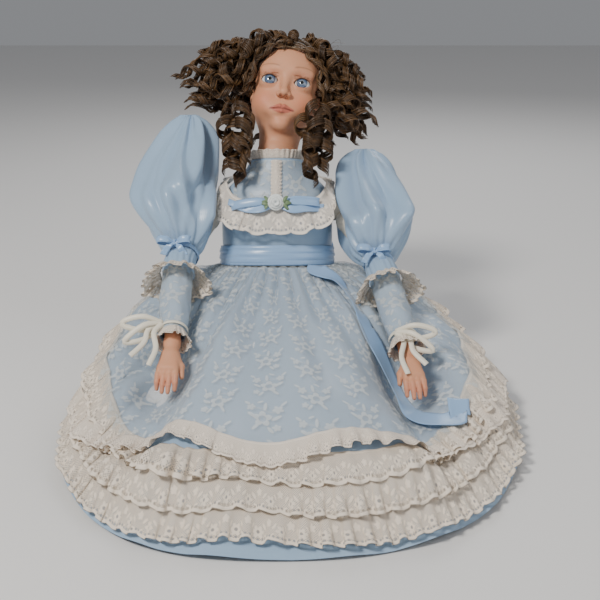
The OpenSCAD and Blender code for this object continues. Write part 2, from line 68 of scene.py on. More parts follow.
def torso(x, y, t):
    """A point in the torso's frame, in mm, as a point in the row frame, in mm."""
    c, s = math.cos(LEAN), math.sin(LEAN)
    x, y, t = np.broadcast_arrays(np.asarray(x, float), np.asarray(y, float), np.asarray(t, float))
    return np.stack([x, y * c + t * s, t * c - y * s], -1)


def rot_x(a):
    c, s = math.cos(a), math.sin(a)
    return np.array([[1, 0, 0], [0, c, -s], [0, s, c]])


def rot_y(a):
    c, s = math.cos(a), math.sin(a)
    return np.array([[c, 0, s], [0, 1, 0], [-s, 0, c]])


HEAD_ROT = rot_x(-math.radians(27)) @ rot_y(math.radians(8))
NECK = torso(0, 0, 243)


def head(p):
    """Points in the head's frame, in mm, in the row frame, in mm."""
    return np.asarray(p, float) @ HEAD_ROT.T + NECK


ELBOW = {-1: np.array([-99.0, -34, 139]), 1: np.array([110.0, -30, 129])}
WRIST = {-1: np.array([-95.0, -140, 90]), 1: np.array([128.0, -136, 80])}
TIPS = {-1: np.array([-99.0, -192, 64]), 1: np.array([133.0, -186, 60])}
SIDE = {-1: "right", 1: "left"}


def unit(v):
    v = np.asarray(v, float)
    return v / np.maximum(np.linalg.norm(v, axis=-1, keepdims=True), 1e-9)


def mix(a, b, k):
    return a + (b - a) * k


def smooth(a, b, x):
    t = np.clip((x - a) / (b - a), 0, 1)
    return t * t * (3 - 2 * t)


def bell(x, c, w):
    return np.exp(-(((x - c) / w) ** 2))


def run(p):
    """Distance along a path at each of its points."""
    return np.r_[0, np.cumsum(np.linalg.norm(np.diff(p, axis=0), axis=-1))]


def pair(a, b):
    """Two arrays spread to one shape and put side by side, as for UVs."""
    return np.stack(np.broadcast_arrays(a, b), -1)


class Waves:
    """Smooth seeded noise in any number of dimensions, about -1 to 1."""

    def __init__(self, seed, dims, size, n=24):
        r = np.random.default_rng(seed)
        d = r.normal(size=(n, dims))
        self.k = d / np.linalg.norm(d, axis=1, keepdims=True) * (2 * pi / size) * r.uniform(0.5, 1.6, (n, 1))
        self.p = r.uniform(0, 2 * pi, n)

    def __call__(self, *xs):
        x = np.stack(np.broadcast_arrays(*xs), -1)
        return np.sin(x @ self.k.T + self.p).sum(-1) * (1.6 / len(self.p)) ** 0.5 * 0.62


# ---------------------------------------------------------------- meshes


def build(name, points, faces, uv=None, flat=False):
    """A mesh object from points in mm. uv is one pair a point, in metres."""
    me = bpy.data.meshes.new(name)
    me.from_pydata([tuple(p) for p in np.asarray(points, float) * MM], [],
                   [tuple(int(i) for i in f) for f in faces])
    if uv is not None:
        layer = me.uv_layers.new(name="UVMap")
        idx = np.zeros(len(me.loops), np.int32)
        me.loops.foreach_get("vertex_index", idx)
        layer.data.foreach_set("uv", np.asarray(uv, np.float32)[idx].ravel())
    if not flat:
        me.polygons.foreach_set("use_smooth", [True] * len(me.polygons))
    me.update()
    ob = bpy.data.objects.new(name, me)
    bpy.context.scene.collection.objects.link(ob)
    return ob


def grid_faces(m, n, wrap=False, start=0):
    """Quads over m rows of n points."""
    i, j = np.meshgrid(np.arange(m - 1), np.arange(n if wrap else n - 1), indexing="ij")
    a = i * n + j
    b = i * n + (j + 1) % n
    return (np.stack([a, b, b + n, a + n], -1).reshape(-1, 4) + start).tolist()


def sheet_mesh(name, P, uv=None, thick=0.0):
    """A surface over a grid of points P[m, n, 3], with some thickness in mm."""
    m, n = P.shape[:2]
    uv = None if uv is None else np.asarray(uv).reshape(-1, 2)
    ob = build(name, P.reshape(-1, 3), grid_faces(m, n), uv)
    if thick:
        mod = ob.modifiers.new("thick", "SOLIDIFY")
        mod.thickness = thick * MM
        mod.offset = 0
        mod.use_even_offset = False
    return ob


def join(name, parts):
    """One object from several, keeping material slots and UVs."""
    bpy.ops.object.select_all(action="DESELECT")
    for o in parts:
        o.select_set(True)
    bpy.context.view_layer.objects.active = parts[0]
    bpy.ops.object.join()
    ob = bpy.context.view_layer.objects.active
    ob.name = name
    ob.data.name = name
    return ob


def along(points):
    """Unit directions along a path."""
    return unit(np.gradient(np.asarray(points, float), axis=0))


def frames(points):
    """A direction and two crossing directions that turn as little as possible along a path."""
    t = along(points)
    a = np.zeros_like(t)
    h = np.array([0, 0, 1.0])
    if abs(np.dot(unit(h), t[0])) > 0.95:
        h = np.array([1.0, 0, 0])
    a[0] = unit(np.cross(t[0], h))
    for i in range(1, len(t)):
        v = a[i - 1] - t[i] * np.dot(a[i - 1], t[i])
        a[i] = unit(v)
    return t, a, np.cross(t, a)


def spline(points, n):
    """n points on a smooth curve through the given ones."""
    p = np.asarray(points, float)
    q = np.vstack([2 * p[0] - p[1], p, 2 * p[-1] - p[-2]])
    d = run(p)
    s = np.linspace(0, d[-1], n)
    k = np.clip(np.searchsorted(d, s, side="right") - 1, 0, len(p) - 2)
    f = ((s - d[k]) / np.maximum(d[k + 1] - d[k], 1e-9))[:, None]
    a, b, c, e = q[k], q[k + 1], q[k + 2], q[k + 3]
    return 0.5 * (2 * b + (c - a) * f + (2 * a - 5 * b + 4 * c - e) * f ** 2
                  + (3 * b - a - 3 * c + e) * f ** 3)


def tube_mesh(name, paths, radii, sides=5, uv=True):
    """Many closed tubes as one mesh. radii is one number or one array a path."""
    V, F, U = [], [], []
    base = 0
    for i, p in enumerate(paths):
        r = radii[i] if isinstance(radii, (list, tuple)) else radii
        r = np.broadcast_to(np.asarray(r, float), (len(p),))
        _, a, b = frames(p)
        ang = np.arange(sides) * 2 * pi / sides
        ring = (p[:, None] + r[:, None, None]
                * (a[:, None] * np.cos(ang)[None, :, None] + b[:, None] * np.sin(ang)[None, :, None]))
        V.append(ring.reshape(-1, 3))
        F += grid_faces(len(p), sides, True, base)
        F.append([base + k for k in range(sides)][::-1])
        F.append([base + (len(p) - 1) * sides + k for k in range(sides)])
        s = run(p) * MM
        U.append(pair((i * 0.37) % 1 + ang[None, :] / 60, s[:, None]).reshape(-1, 2))
        base += len(p) * sides
    return build(name, np.vstack(V), F, np.vstack(U) if uv else None)


def ribbon_mesh(name, path, across, width, thick=0.5, rows=7, crease=0.0, folds=None):
    """A satin ribbon along a path. across is one direction a point."""
    p = np.asarray(path, float)
    a = unit(np.broadcast_to(np.asarray(across, float), p.shape))
    t = along(p)
    nrm = unit(np.cross(a, t))
    w = np.broadcast_to(np.asarray(width, float), (len(p),))
    f = np.linspace(-0.5, 0.5, rows)
    lift = crease * (1 - (2 * f) ** 2)
    P = p[:, None] + a[:, None] * (w[:, None] * f[None])[..., None] + nrm[:, None] * lift[None, :, None]
    if folds is not None:
        P += nrm[:, None] * folds(np.linspace(0, 1, len(p))[:, None], f[None, :])[..., None]
    s = run(p) * MM
    uv = pair(s[:, None], (w[:, None] * f[None]) * MM)
    return sheet_mesh(name, P, uv, thick=thick)


# ---------------------------------------------------------------- solids from distance fields


def surface_nets(field, lo, hi, h):
    """Points and quads of field(x, y, z) = 0, on a grid of step h."""
    axes = [np.arange(lo[k], hi[k] + h, h) for k in range(3)]
    X, Y, Z = np.meshgrid(*axes, indexing="ij")
    f = field(X, Y, Z).astype(np.float32)
    inside = f < 0
    nx, ny, nz = f.shape
    c = np.zeros((nx - 1, ny - 1, nz - 1), np.int8)
    for dx in (0, 1):
        for dy in (0, 1):
            for dz in (0, 1):
                c += inside[dx:nx - 1 + dx, dy:ny - 1 + dy, dz:nz - 1 + dz]
    act = (c > 0) & (c < 8)
    ids = -np.ones(act.shape, np.int64)
    cells = np.argwhere(act)
    ids[act] = np.arange(len(cells))
    acc = np.zeros((len(cells), 3))
    cnt = np.zeros(len(cells))
    corners = [(0, 0, 0), (1, 0, 0), (0, 1, 0), (0, 0, 1), (1, 1, 0), (1, 0, 1), (0, 1, 1), (1, 1, 1)]
    for a in corners:
        for b in corners:
            d = np.subtract(b, a)
            if d.sum() != 1 or (d < 0).any():
                continue
            ia = tuple((cells + a).T)
            ib = tuple((cells + b).T)
            fa, fb = f[ia], f[ib]
            m = (fa < 0) != (fb < 0)
            t = np.where(m, fa / np.where(m, fa - fb, 1), 0)
            acc[m] += (np.array(a) + t[:, None] * d)[m]
            cnt[m] += 1
    P = (cells + acc / cnt[:, None]) * h + np.array([ax[0] for ax in axes])
    quads = []
    for ax in range(3):
        sl_a = [slice(None)] * 3
        sl_b = [slice(None)] * 3
        sl_a[ax] = slice(0, -1)
        sl_b[ax] = slice(1, None)
        cross = inside[tuple(sl_a)] != inside[tuple(sl_b)]
        e = np.argwhere(cross)
        u, v = [k for k in range(3) if k != ax]
        e = e[(e[:, u] > 0) & (e[:, v] > 0) & (e[:, u] < f.shape[u] - 1) & (e[:, v] < f.shape[v] - 1)]
        flip = inside[tuple(e.T)]
        def cell(du, dv):
            q = e.copy()
            q[:, u] += du
            q[:, v] += dv
            return ids[tuple(q.T)]
        q = np.stack([cell(-1, -1), cell(0, -1), cell(0, 0), cell(-1, 0)], -1)
        if ax == 1:
            flip = ~flip
        q[~flip] = q[~flip][:, ::-1]
        quads.append(q)
    return P, np.vstack(quads)


def ball(x, y, z, c, r):
    """Distance to a ball, or to an ellipsoid if r is three numbers."""
    r = np.broadcast_to(np.asarray(r, float), (3,))
    k = np.sqrt(((x - c[0]) / r[0]) ** 2 + ((y - c[1]) / r[1]) ** 2 + ((z - c[2]) / r[2]) ** 2)
    return (k - 1) * r.min()


def capsule(x, y, z, a, b, ra, rb):
    """Distance to a rounded cone between two points."""
    a, b = np.asarray(a, float), np.asarray(b, float)
    d = b - a
    t = np.clip(((x - a[0]) * d[0] + (y - a[1]) * d[1] + (z - a[2]) * d[2]) / (d @ d), 0, 1)
    return (np.sqrt((x - a[0] - t * d[0]) ** 2 + (y - a[1] - t * d[1]) ** 2 + (z - a[2] - t * d[2]) ** 2)
            - (ra + (rb - ra) * t))


def blend_min(a, b, k):
    """Union of two distance fields with a soft join k mm wide."""
    h = np.clip(0.5 + 0.5 * (b - a) / k, 0, 1)
    return b + (a - b) * h - k * h * (1 - h)


# ---------------------------------------------------------------- materials


class Sum:
    """Shader maths written as ordinary expressions."""

    def __init__(self, tree, socket):
        self.tree, self.socket = tree, socket

    def op(self, name, *args, clamp=False):
        node = self.tree.nodes.new("ShaderNodeMath")
        node.operation = name
        node.use_clamp = clamp
        for k, a in enumerate((self,) + args):
            if isinstance(a, Sum):
                self.tree.links.new(a.socket, node.inputs[k])
            else:
                node.inputs[k].default_value = a
        return Sum(self.tree, node.outputs[0])

    def __add__(self, o): return self.op("ADD", o)
    def __radd__(self, o): return self.op("ADD", o)
    def __sub__(self, o): return self.op("SUBTRACT", o)
    def __rsub__(self, o): return (self * -1) + o
    def __mul__(self, o): return self.op("MULTIPLY", o)
    def __rmul__(self, o): return self.op("MULTIPLY", o)
    def __truediv__(self, o): return self.op("DIVIDE", o)
    def sin(self): return self.op("SINE")
    def cos(self): return self.op("COSINE")
    def abs(self): return self.op("ABSOLUTE")
    def fract(self): return self.op("FRACT")
    def floor(self): return self.op("FLOOR")
    def sqrt(self): return self.op("SQRT")
    def min(self, o): return self.op("MINIMUM", o)
    def max(self, o): return self.op("MAXIMUM", o)
    def atan2(self, o): return self.op("ARCTAN2", o)
    def below(self, edge, soft):
        """1 below edge, 0 above it, with a soft step."""
        return ((self * -1 + edge) / soft + 0.5).op("MULTIPLY", 1.0, clamp=True)


def hypot(a, b):
    return (a * a + b * b).sqrt()


def material(name, color, rough=0.6, **values):
    m = bpy.data.materials.new(name)
    m.use_nodes = True
    b = m.node_tree.nodes["Principled BSDF"]
    b.inputs["Base Color"].default_value = (*color, 1)
    b.inputs["Roughness"].default_value = rough
    for k, v in values.items():
        b.inputs[k.replace("_", " ")].default_value = v
    return m


def tree_of(m):
    return m.node_tree, m.node_tree.nodes["Principled BSDF"]


def uv_of(tree):
    node = tree.nodes.new("ShaderNodeUVMap")
    node.uv_map = "UVMap"
    sep = tree.nodes.new("ShaderNodeSeparateXYZ")
    tree.links.new(node.outputs[0], sep.inputs[0])
    return Sum(tree, sep.outputs[0]), Sum(tree, sep.outputs[1])


def bump(tree, b, height, distance, strength=1.0):
    node = tree.nodes.new("ShaderNodeBump")
    node.inputs["Distance"].default_value = distance
    node.inputs["Strength"].default_value = strength
    tree.links.new(height.socket, node.inputs["Height"])
    tree.links.new(node.outputs[0], b.inputs["Normal"])


def satin(name, color, rough=0.30):
    m = material(name, color, rough, Specular_IOR_Level=0.55, Sheen_Weight=0.25, Sheen_Roughness=0.35)
    tree, b = tree_of(m)
    u, v = uv_of(tree)
    bump(tree, b, (u * 5200).sin() * 0.5 + (v * 2600).sin() * 0.5, 0.00006, 0.35)
    return m


def petal_flower(x, y, r, petals, turn=0.0):
    """1 inside a flower of that radius."""
    edge = ((y.atan2(x) + turn) * (petals / 2)).cos().abs() * 0.45 + 0.62
    return (hypot(x, y) / r / edge).below(1.0, 0.18)


def leaf(x, y, cx, cy, turn, length, width):
    c, s = math.cos(turn), math.sin(turn)
    dx, dy = x - cx, y - cy
    a = dx * c + dy * s
    d = dy * c - dx * s
    return (hypot(a / length, d / width)).below(1.0, 0.3)


def net(u, v, cell, thread):
    """Alpha of a fine diamond net."""
    p = ((u + v) / cell).fract() - 0.5
    q = ((u - v) / cell).fract() - 0.5
    return p.abs().max(q.abs()).op("SUBTRACT", 0.5 - thread).op("MULTIPLY", 24.0, clamp=True)


def floral_net():
    """Net with white flower sprays in half-drop rows."""
    m = material("lace_floral", (0.68, 0.71, 0.70), 0.75)
    tree, b = tree_of(m)
    u, v = uv_of(tree)
    cell = 0.037
    col = (u / cell).floor()
    x = ((u / cell).fract() - 0.5) * cell
    drop = (col * 0.5).fract() * cell
    row = ((v + drop) / cell).floor()
    flip = ((col + row * 1.0) * 0.5).fract() * 4 - 1
    y = (((v + drop) / cell).fract() - 0.5) * cell
    x = x * flip
    w = petal_flower(x - 0.002, y - 0.003, 0.0072, 5, 0.3)
    hole = hypot(x - 0.002, y - 0.003).below(0.0016, 0.0006)
    ring = (hypot(x - 0.002, y - 0.003) - 0.0024).abs().below(0.0004, 0.0004)
    w = w * (ring * -0.7 + 1)
    w = w.max(petal_flower(x + 0.009, y + 0.006, 0.0040, 5, 1.0))
    w = w.max(petal_flower(x - 0.011, y + 0.008, 0.0034, 5, 0.6))
    w = w.max(petal_flower(x + 0.008, y - 0.011, 0.0030, 5, 0.1))
    for cx, cy, turn, length, width in ((-0.008, 0.002, 0.6, 0.0042, 0.0015),
                                        (0.010, 0.000, -0.7, 0.0044, 0.0016),
                                        (0.000, -0.009, 1.5, 0.0046,
                                         0.0015), (0.007, 0.011, 0.9, 0.0040, 0.0014),
                                        (-0.004, 0.013, 2.2, 0.0036,
                                         0.0013), (-0.013, -0.012, 0.8, 0.0034, 0.0012),
                                        (0.014, -0.013, 2.3, 0.0034, 0.0012),
                                        (0.004, -0.014, 0.5, 0.0030, 0.0011)):
        w = w.max(leaf(x, y, cx, cy, turn, length, width))
    stem = (y + (x * 300).sin() * 0.002 + 0.005).abs().below(0.0005, 0.0005) * x.abs().below(0.012, 0.002)
    w = w.max(stem * 0.8)
    w = w * (hole * -1 + 1).max(0.0)
    mesh = net(u, v, 0.0016, 0.12) * 0.22 + 0.22
    alpha = mesh.max(w * 0.66)
    tree.links.new(alpha.socket, b.inputs["Alpha"])
    return m


def gathered_lace(name, color, width, pitch, density):
    """Wide scalloped lace. v runs from 0 at the sewn edge to width at the scallops."""
    m = material(name, color, 0.8)
    tree, b = tree_of(m)
    u, v = uv_of(tree)
    f = v / width
    x = ((u / pitch).fract() - 0.5) * pitch
    y = v - width * 0.66
    flower = petal_flower(x, y, width * 0.17, 6)
    eye = hypot(x, y).below(width * 0.045, width * 0.02)
    x2 = ((u / pitch + 0.5).fract() - 0.5) * pitch
    flower = flower.max(petal_flower(x2, v - width * 0.42, width * 0.12, 5, 0.4))
    for s in (-1, 1):
        flower = flower.max(leaf(x, v - width * 0.52, s * pitch * 0.24, 0, s * 0.9, pitch * 0.13,
                                 pitch * 0.05))
        flower = flower.max(leaf(x2, v - width * 0.80, s * pitch * 0.16, 0, s * -0.7, pitch * 0.12,
                                 pitch * 0.05))
    # The border follows the scallops, with a row of eyelets inside it
    bow = (u / pitch * pi).sin().abs() * (width * 0.09)
    edge = v - (bow + width * 0.90)
    border = (edge + width * 0.045).abs().below(width * 0.05, width * 0.02)
    dots = hypot(((u / pitch * 7).fract() - 0.5) * (pitch / 7),
                 edge + width * 0.13).below(width * 0.035, width * 0.02)
    top = f.below(0.10, 0.04)
    mesh = net(u, v, 0.0019, 0.17) * (1 - density) + density
    w = mesh.max(flower * 0.98).max(border).max(top)
    w = w * (eye * -0.75 + 1) * (dots * -0.7 + 1)
    w = w * edge.below(0.0, width * 0.02)
    tree.links.new(w.op("MULTIPLY", 1.0, clamp=True).socket, b.inputs["Alpha"])
    bump(tree, b, flower.max(border), 0.0005, 0.6)
    return m


def painted(name, rough, **values):
    """A material whose colour is the mesh's own painted colour."""
    m = material(name, (0.8, 0.8, 0.8), rough, **values)
    tree, b = tree_of(m)
    node = tree.nodes.new("ShaderNodeVertexColor")
    node.layer_name = "paint"
    tree.links.new(node.outputs[0], b.inputs["Base Color"])
    return m


def paint(ob, colors):
    """Sets the mesh's painted colours, one a point."""
    c = np.ones((len(ob.data.vertices), 4), np.float32)
    c[:, :3] = colors
    layer = ob.data.color_attributes.new("paint", "FLOAT_COLOR", "POINT")
    layer.data.foreach_set("color", c.ravel())


BLUE = (0.33, 0.465, 0.63)
M = {
    "satin": satin("satin_blue", BLUE),
    "ribbon": satin("ribbon_blue", (0.30, 0.47, 0.72), 0.26),
    "cream_ribbon": satin("ribbon_cream", (0.86, 0.80, 0.66), 0.4),
    "floral": floral_net(),
    "lace": gathered_lace("lace_wide", (0.86, 0.76, 0.64), 0.030, 0.026, 0.28),
    "lace_narrow": gathered_lace("lace_narrow", (0.87, 0.77, 0.66), 0.016, 0.014, 0.55),
    "lace_collar": gathered_lace("lace_collar", (0.88, 0.80, 0.70), 0.034, 0.030, 0.26),
    "bisque": painted("bisque", 0.52, Specular_IOR_Level=0.35, Subsurface_Weight=0.06,
                      Subsurface_Scale=0.004),
    "eye": painted("glass_eye", 0.06, Specular_IOR_Level=0.7, Coat_Weight=1.0, Coat_Roughness=0.02),
    "hair": painted("hair", 0.42, Specular_IOR_Level=0.5),
    "rosette": satin("rosette_white", (0.80, 0.84, 0.82), 0.45),
    "leaf": satin("leaf_green", (0.16, 0.24, 0.12), 0.5),
    "cloth": material("body_cloth", (0.72, 0.66, 0.56), 0.85),
    "cotton": material("cotton_white", (0.82, 0.82, 0.80), 0.85),
    "net": material("petticoat_net", (0.80, 0.83, 0.88), 0.8),
    "shoe": material("shoe_white", (0.80, 0.79, 0.75), 0.35),
    "steel": material("steel", (0.55, 0.55, 0.55), 0.35, Metallic=1.0),
    "wood": material("wood", (0.52, 0.34, 0.18), 0.6),
    "cap": material("wig_net", (0.035, 0.018, 0.010), 0.8),
    "putty": material("putty", (0.75, 0.73, 0.68), 0.9),
    "pate": material("pate", (0.42, 0.32, 0.22), 0.9),
    "button": material("button", (0.78, 0.74, 0.66), 0.25),
    "cord": material("cord", (0.6, 0.52, 0.4), 0.7),
}


def dress(ob, mat, body, replaces=()):
    """Gives a piece its material slot and body, and hides the CAD nodes that it stands for."""
    ob.data.materials.clear()
    ob.data.materials.append(M[mat])
    for n in replaces:
        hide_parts(n)
    if body:
        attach(ob, body)
    return ob


# ---------------------------------------------------------------- skirt surface

OVER_LEGS = np.array([[0, 1], [0.2, 0.86], [0.45, 0.74], [0.65, 0.62], [0.72, 0.52], [0.78, 0.33],
                      [0.86, 0.22], [0.94, 0.11], [1, 0]])
AT_SIDES = np.array([[0, 1], [0.3, 0.93], [0.6, 0.78], [0.8, 0.5], [0.92, 0.22], [1, 0]])


def soft_lookup(table, u):
    """The table's curve with its corners rounded off."""
    return sum(np.interp(np.clip(u + d, 0, 1), table[:, 0], table[:, 1])
               for d in (-0.045, -0.022, 0, 0.022, 0.045)) / 5


def skirt_base(u, a):
    """The plain skirt at a share of the way down and an angle in radians, in mm."""
    c, s = np.cos(a), np.sin(a)
    w = torso(60 * c, 42 * s, 121)
    hx = np.where(c > 0, 232, 198) * np.sign(c) * np.abs(c) ** 0.8
    hy = -97 + 247 * np.sign(s) * np.abs(s) ** 0.8
    x, y = mix(w[..., 0], hx, u), mix(w[..., 1], hy, u)
    k = np.maximum(0, -s) ** 1.5
    fade = np.minimum(1, (1 - u) * 8)
    lap, dent = np.where(x > 0, 124, 105), np.where(x > 0, 60, 48)
    z = w[..., 2] * mix(soft_lookup(AT_SIDES, u), soft_lookup(OVER_LEGS, u), k)
    z = z - fade * dent * np.exp(-(((np.abs(x) - lap) / 38) ** 2) - ((y + 145) / 82) ** 2)
    z = z + fade * 22 * np.exp(-(((np.abs(x) - 95) / 50) ** 2) - ((y + 285) / 35) ** 2)
    return np.stack([x, y, np.maximum(z, 0)], -1)


warp_wave = Waves(11, 3, 3.2)
fold_wave = Waves(12, 3, 0.75)
crumple = Waves(13, 3, 0.34)


def folds(u, a):
    """How far the cloth stands out in folds, in mm."""
    c, s = np.cos(a) * 1.6, np.sin(a) * 1.6
    wv = warp_wave(c, s, u)
    gather = ((np.cos(46 * a + 5 * wv) + 0.5 * np.cos(31 * a - 4 * wv)) * 1.6 * smooth(0.0, 0.03, u)
              * (1 - smooth(0.10, 0.42, u)))
    mid = np.maximum(np.cos(17 * a + 4.5 * wv + 1.5 * u), -0.35) * 4.6 * smooth(0.04, 0.35, u)
    deep = np.cos(9 * a - 5 * wv) * 3.2 * smooth(0.15, 0.6, u)
    soft = fold_wave(c, s, u * 0.8) * 2.6 * smooth(0.1, 0.4, u) + crumple(c, s, u) * 0.8 * smooth(0.1, 0.3, u)
    at_hands = bell(np.degrees(a) % 360, 231, 12) + bell(np.degrees(a) % 360, 319, 12)
    calm = 1 - 0.75 * at_hands * smooth(0.35, 0.5, u) * (1 - smooth(0.68, 0.8, u))
    front = bell(np.degrees(a) % 360, 270, 40)
    return ((gather + (mid + deep + soft) * (1 - 0.35 * front * smooth(0.3, 0.6, u)) * calm)
            * (1 - 0.45 * smooth(0.85, 1, u)))


def skirt_surface(u, a, off=0.0):
    """Points and normals of the folded skirt, off mm outside the satin."""
    u, a = np.broadcast_arrays(np.asarray(u, float), np.asarray(a, float))
    e = 0.004
    def at(uu, aa):
        p = skirt_base(uu, aa)
        q = skirt_base(np.clip(uu + 0.02, 0, 1), aa) - skirt_base(np.clip(uu - 0.02, 0, 1), aa)
        r = skirt_base(uu, aa + 0.03) - skirt_base(uu, aa - 0.03)
        n = unit(np.cross(q, r))
        n[..., 2] = np.maximum(n[..., 2], 0.12)
        n = unit(n)
        return p + n * folds(uu, aa)[..., None]
    p = at(u, a)
    n = unit(np.cross(at(np.minimum(u + e, 1), a) - at(np.maximum(u - e, 0), a), at(u, a + e) - at(u, a - e)))
    p = p + n * (np.asarray(off)[..., None] if np.ndim(off) else off)
    p[..., 2] = np.maximum(p[..., 2], 0.4)
    return p, n


class Drop:
    """Places on the skirt by distance up from the hem, column by column."""

    def __init__(self, a):
        self.a = a
        self.u = np.linspace(0, 1, 90)
        p = skirt_base(self.u[:, None], a[None])
        d = np.linalg.norm(np.diff(p, axis=0), axis=-1)
        s = np.vstack([np.zeros(len(a)), np.cumsum(d, axis=0)])
        self.up = s[-1][None] - s

    def u_at(self, up):
        """up is one row of distances, one a column."""
        return np.array([np.interp(-v, -self.up[:, j], self.u) for j,
                         v in enumerate(np.broadcast_to(up, self.a.shape))])


def loop_length(P):
    """Distance round a closed row of points, at each point."""
    d = np.linalg.norm(np.roll(P, -1, axis=0) - P, axis=-1)
    return np.r_[0, np.cumsum(d)[:-1]], d.sum()


def frill(name, G, N, v, length, waves, amp, width, seed=1, wrap=False, fullness=1.5, roll=0.5):
    """Gathered lace over a grid of points G with normals N. v runs from 0 at the sewn
    edge to 1 at the free edge, length is the distance along each column in mm."""
    s = length / length.max() if not wrap else np.arange(G.shape[1]) / G.shape[1]
    r = np.random.default_rng(seed)
    warp = sum(np.sin(2 * pi * k * s + r.uniform(0, 6.3)) * r.uniform(0.4, 1.0) / (0.35 * k) ** 0.5
               for k in range(1, 9))
    ph = 2 * pi * waves * s + warp
    size = 1 + 0.35 * np.sin(2 * pi * 5 * s + r.uniform(0, 6.3)) + 0.2 * np.sin(2 * pi * 13 * s + 1.0)
    A = (amp * size)[None] * (0.18 + 0.82 * v[:, None] ** 1.1)
    T = np.gradient(G, axis=1) if not wrap else (np.roll(G, -1, axis=1) - np.roll(G, 1, axis=1))
    T = unit(T)
    ph2 = ph[None] + 0.5 * v[:, None]
    wave = np.cos(ph2) + 0.22 * np.cos(2 * ph2 + 1.0)
    P = G + N * (A * (wave + 1.0))[..., None] + T * (A * roll * np.sin(2 * ph2))[..., None]
    P[..., 2] = np.maximum(P[..., 2], 0.4)
    uv = pair(length[None] * fullness * MM, v[:, None] * width * MM)
    if wrap:
        P = np.concatenate([P, P[:, :1]], 1)
        total = (length[-1] + length[1] - length[0]) * fullness * MM
        uv = np.concatenate([uv, np.stack([np.full(len(v), total), v * width * MM], -1)[:, None]], 1)
    return sheet_mesh(name, P, uv, thick=0.35)


def circle(n):
    return np.arange(n) * 2 * pi / n


# ---------------------------------------------------------------- skirt

cols = 420
ang = np.linspace(0, 2 * pi, cols + 1)
us = np.linspace(0, 1, 110)
P, N = skirt_surface(us[:, None], ang[None])
arc = run(P[:, 0])
uv = pair(ang[None] * 0.19, arc[:, None] * MM)
skirt = dress(sheet_mesh("skirt_satin", P, uv, thick=0.0), "satin", "torso", ["skirt"])

# The overskirt's edge hangs lower at the sides than over the lap
EDGE = np.array([[-90, .90], [0, .895], [20, .90], [90, .90], [180, .90], [206, .895], [225, .82],
                 [247, .745], [264, .79], [273, .785], [283, .765], [306, .815], [330, .86], [348, .89],
                 [360, .895], [450, .90]])


def edge_u(a):
    d = np.degrees(a) % 360
    return sum(np.interp(d + k, EDGE[:, 0], EDGE[:, 1]) for k in (-8, -4, 0, 4, 8)) / 5


rows = np.linspace(0, 1, 84)
top_u = 0.012
E = edge_u(ang)
drop = Drop(ang)
U = top_u + (E - 0.02 - top_u)[None] * rows[:, None]
P, N = skirt_surface(U, np.broadcast_to(ang, U.shape), 3.2 + 0 * U)
arc = np.vstack([np.zeros(P.shape[1]), np.cumsum(np.linalg.norm(np.diff(P, axis=0), axis=-1), axis=0)])
mid_row = P[46]
across_mm = run(mid_row)
x_uv = across_mm[None] * 1.12 * MM + 0 * arc
over = dress(sheet_mesh("overskirt_net", P, np.stack([x_uv, arc * MM], -1), thick=0.0), "floral", "torso",
             ["overskirt"])

# Gathered lace along the overskirt's edge
n_over = 720
a2 = circle(n_over)
d2 = Drop(a2)
edge_up = np.array([np.interp(e, d2.u, d2.up[:, j]) for j, e in enumerate(edge_u(a2))])
v = np.linspace(0, 1, 9)
U = np.array([d2.u_at(edge_up + 16 - 24 * k) for k in v])
G, N = skirt_surface(U, np.broadcast_to(a2, U.shape), 4.0 + 3.0 * v[:, None] + 0 * U)
length, total = loop_length(G[4])
lace = dress(frill("overskirt_edging", G, N, v, length, 74, 2.3, 16, seed=3, wrap=True),
             "lace_narrow", "torso", ["overskirt_ruffle"])
round(total * 1.3 * MM, 3)

# Three rows of wide lace above the hem
n_hem = 960
a3 = circle(n_hem)
d3 = Drop(a3)
for k, (top, low) in enumerate(((88, 54), (62, 28), (36, 2))):
    node = ("hem_lace_upper", "hem_lace_middle", "hem_lace_lower")[k]
    v = np.linspace(0, 1, 10)
    centre = bell(np.degrees(a3), 266, 9)
    shift = 9 * centre
    U = np.array([d3.u_at(np.maximum(top + shift - (top - low) * f, 0)) for f in v])
    G, N = skirt_surface(U, np.broadcast_to(a3, U.shape), 1.5 + 3.0 * v[:, None] + 0 * U)
    length, total = loop_length(G[5])
    lace = dress(frill("hem_frill_%d" % (k + 1), G, N, v, length, 86 + 5 * k, 2.7, 30, seed=20 + k,
                       wrap=True),
                 "lace", "torso", [node])
    round(total * 1.3 * MM, 3)


# ---------------------------------------------------------------- bodice and collar

BODY = np.array([[119, 59.4, 41.4], [124, 58.6, 40.6], [150, 60, 42], [180, 60.3, 43], [200, 58, 40],
                 [212, 48, 35], [222, 37, 31], [232, 31, 29.6], [238, 29, 28]])


def body_point(t, a):
    """A point on the bodice at a height and an angle in radians, in mm."""
    t, a = np.broadcast_arrays(np.asarray(t, float), np.asarray(a, float))
    rx = sum(np.interp(t + d, BODY[:, 0], BODY[:, 1]) for d in (-3, 0, 3)) / 3
    ry = sum(np.interp(t + d, BODY[:, 0], BODY[:, 2]) for d in (-3, 0, 3)) / 3
    return torso(rx * np.cos(a), ry * np.sin(a), t)


def body_front(x, t, off=0.0):
    """The point of the bodice's front above x, in mm."""
    t, x = np.broadcast_arrays(np.asarray(t, float), np.asarray(x, float))
    rx = np.interp(t, BODY[:, 0], BODY[:, 1]) + off
    ry = np.interp(t, BODY[:, 0], BODY[:, 2]) + off
    return torso(x, -ry * np.sqrt(np.clip(1 - (x / rx) ** 2, 0.02, 1)), t)


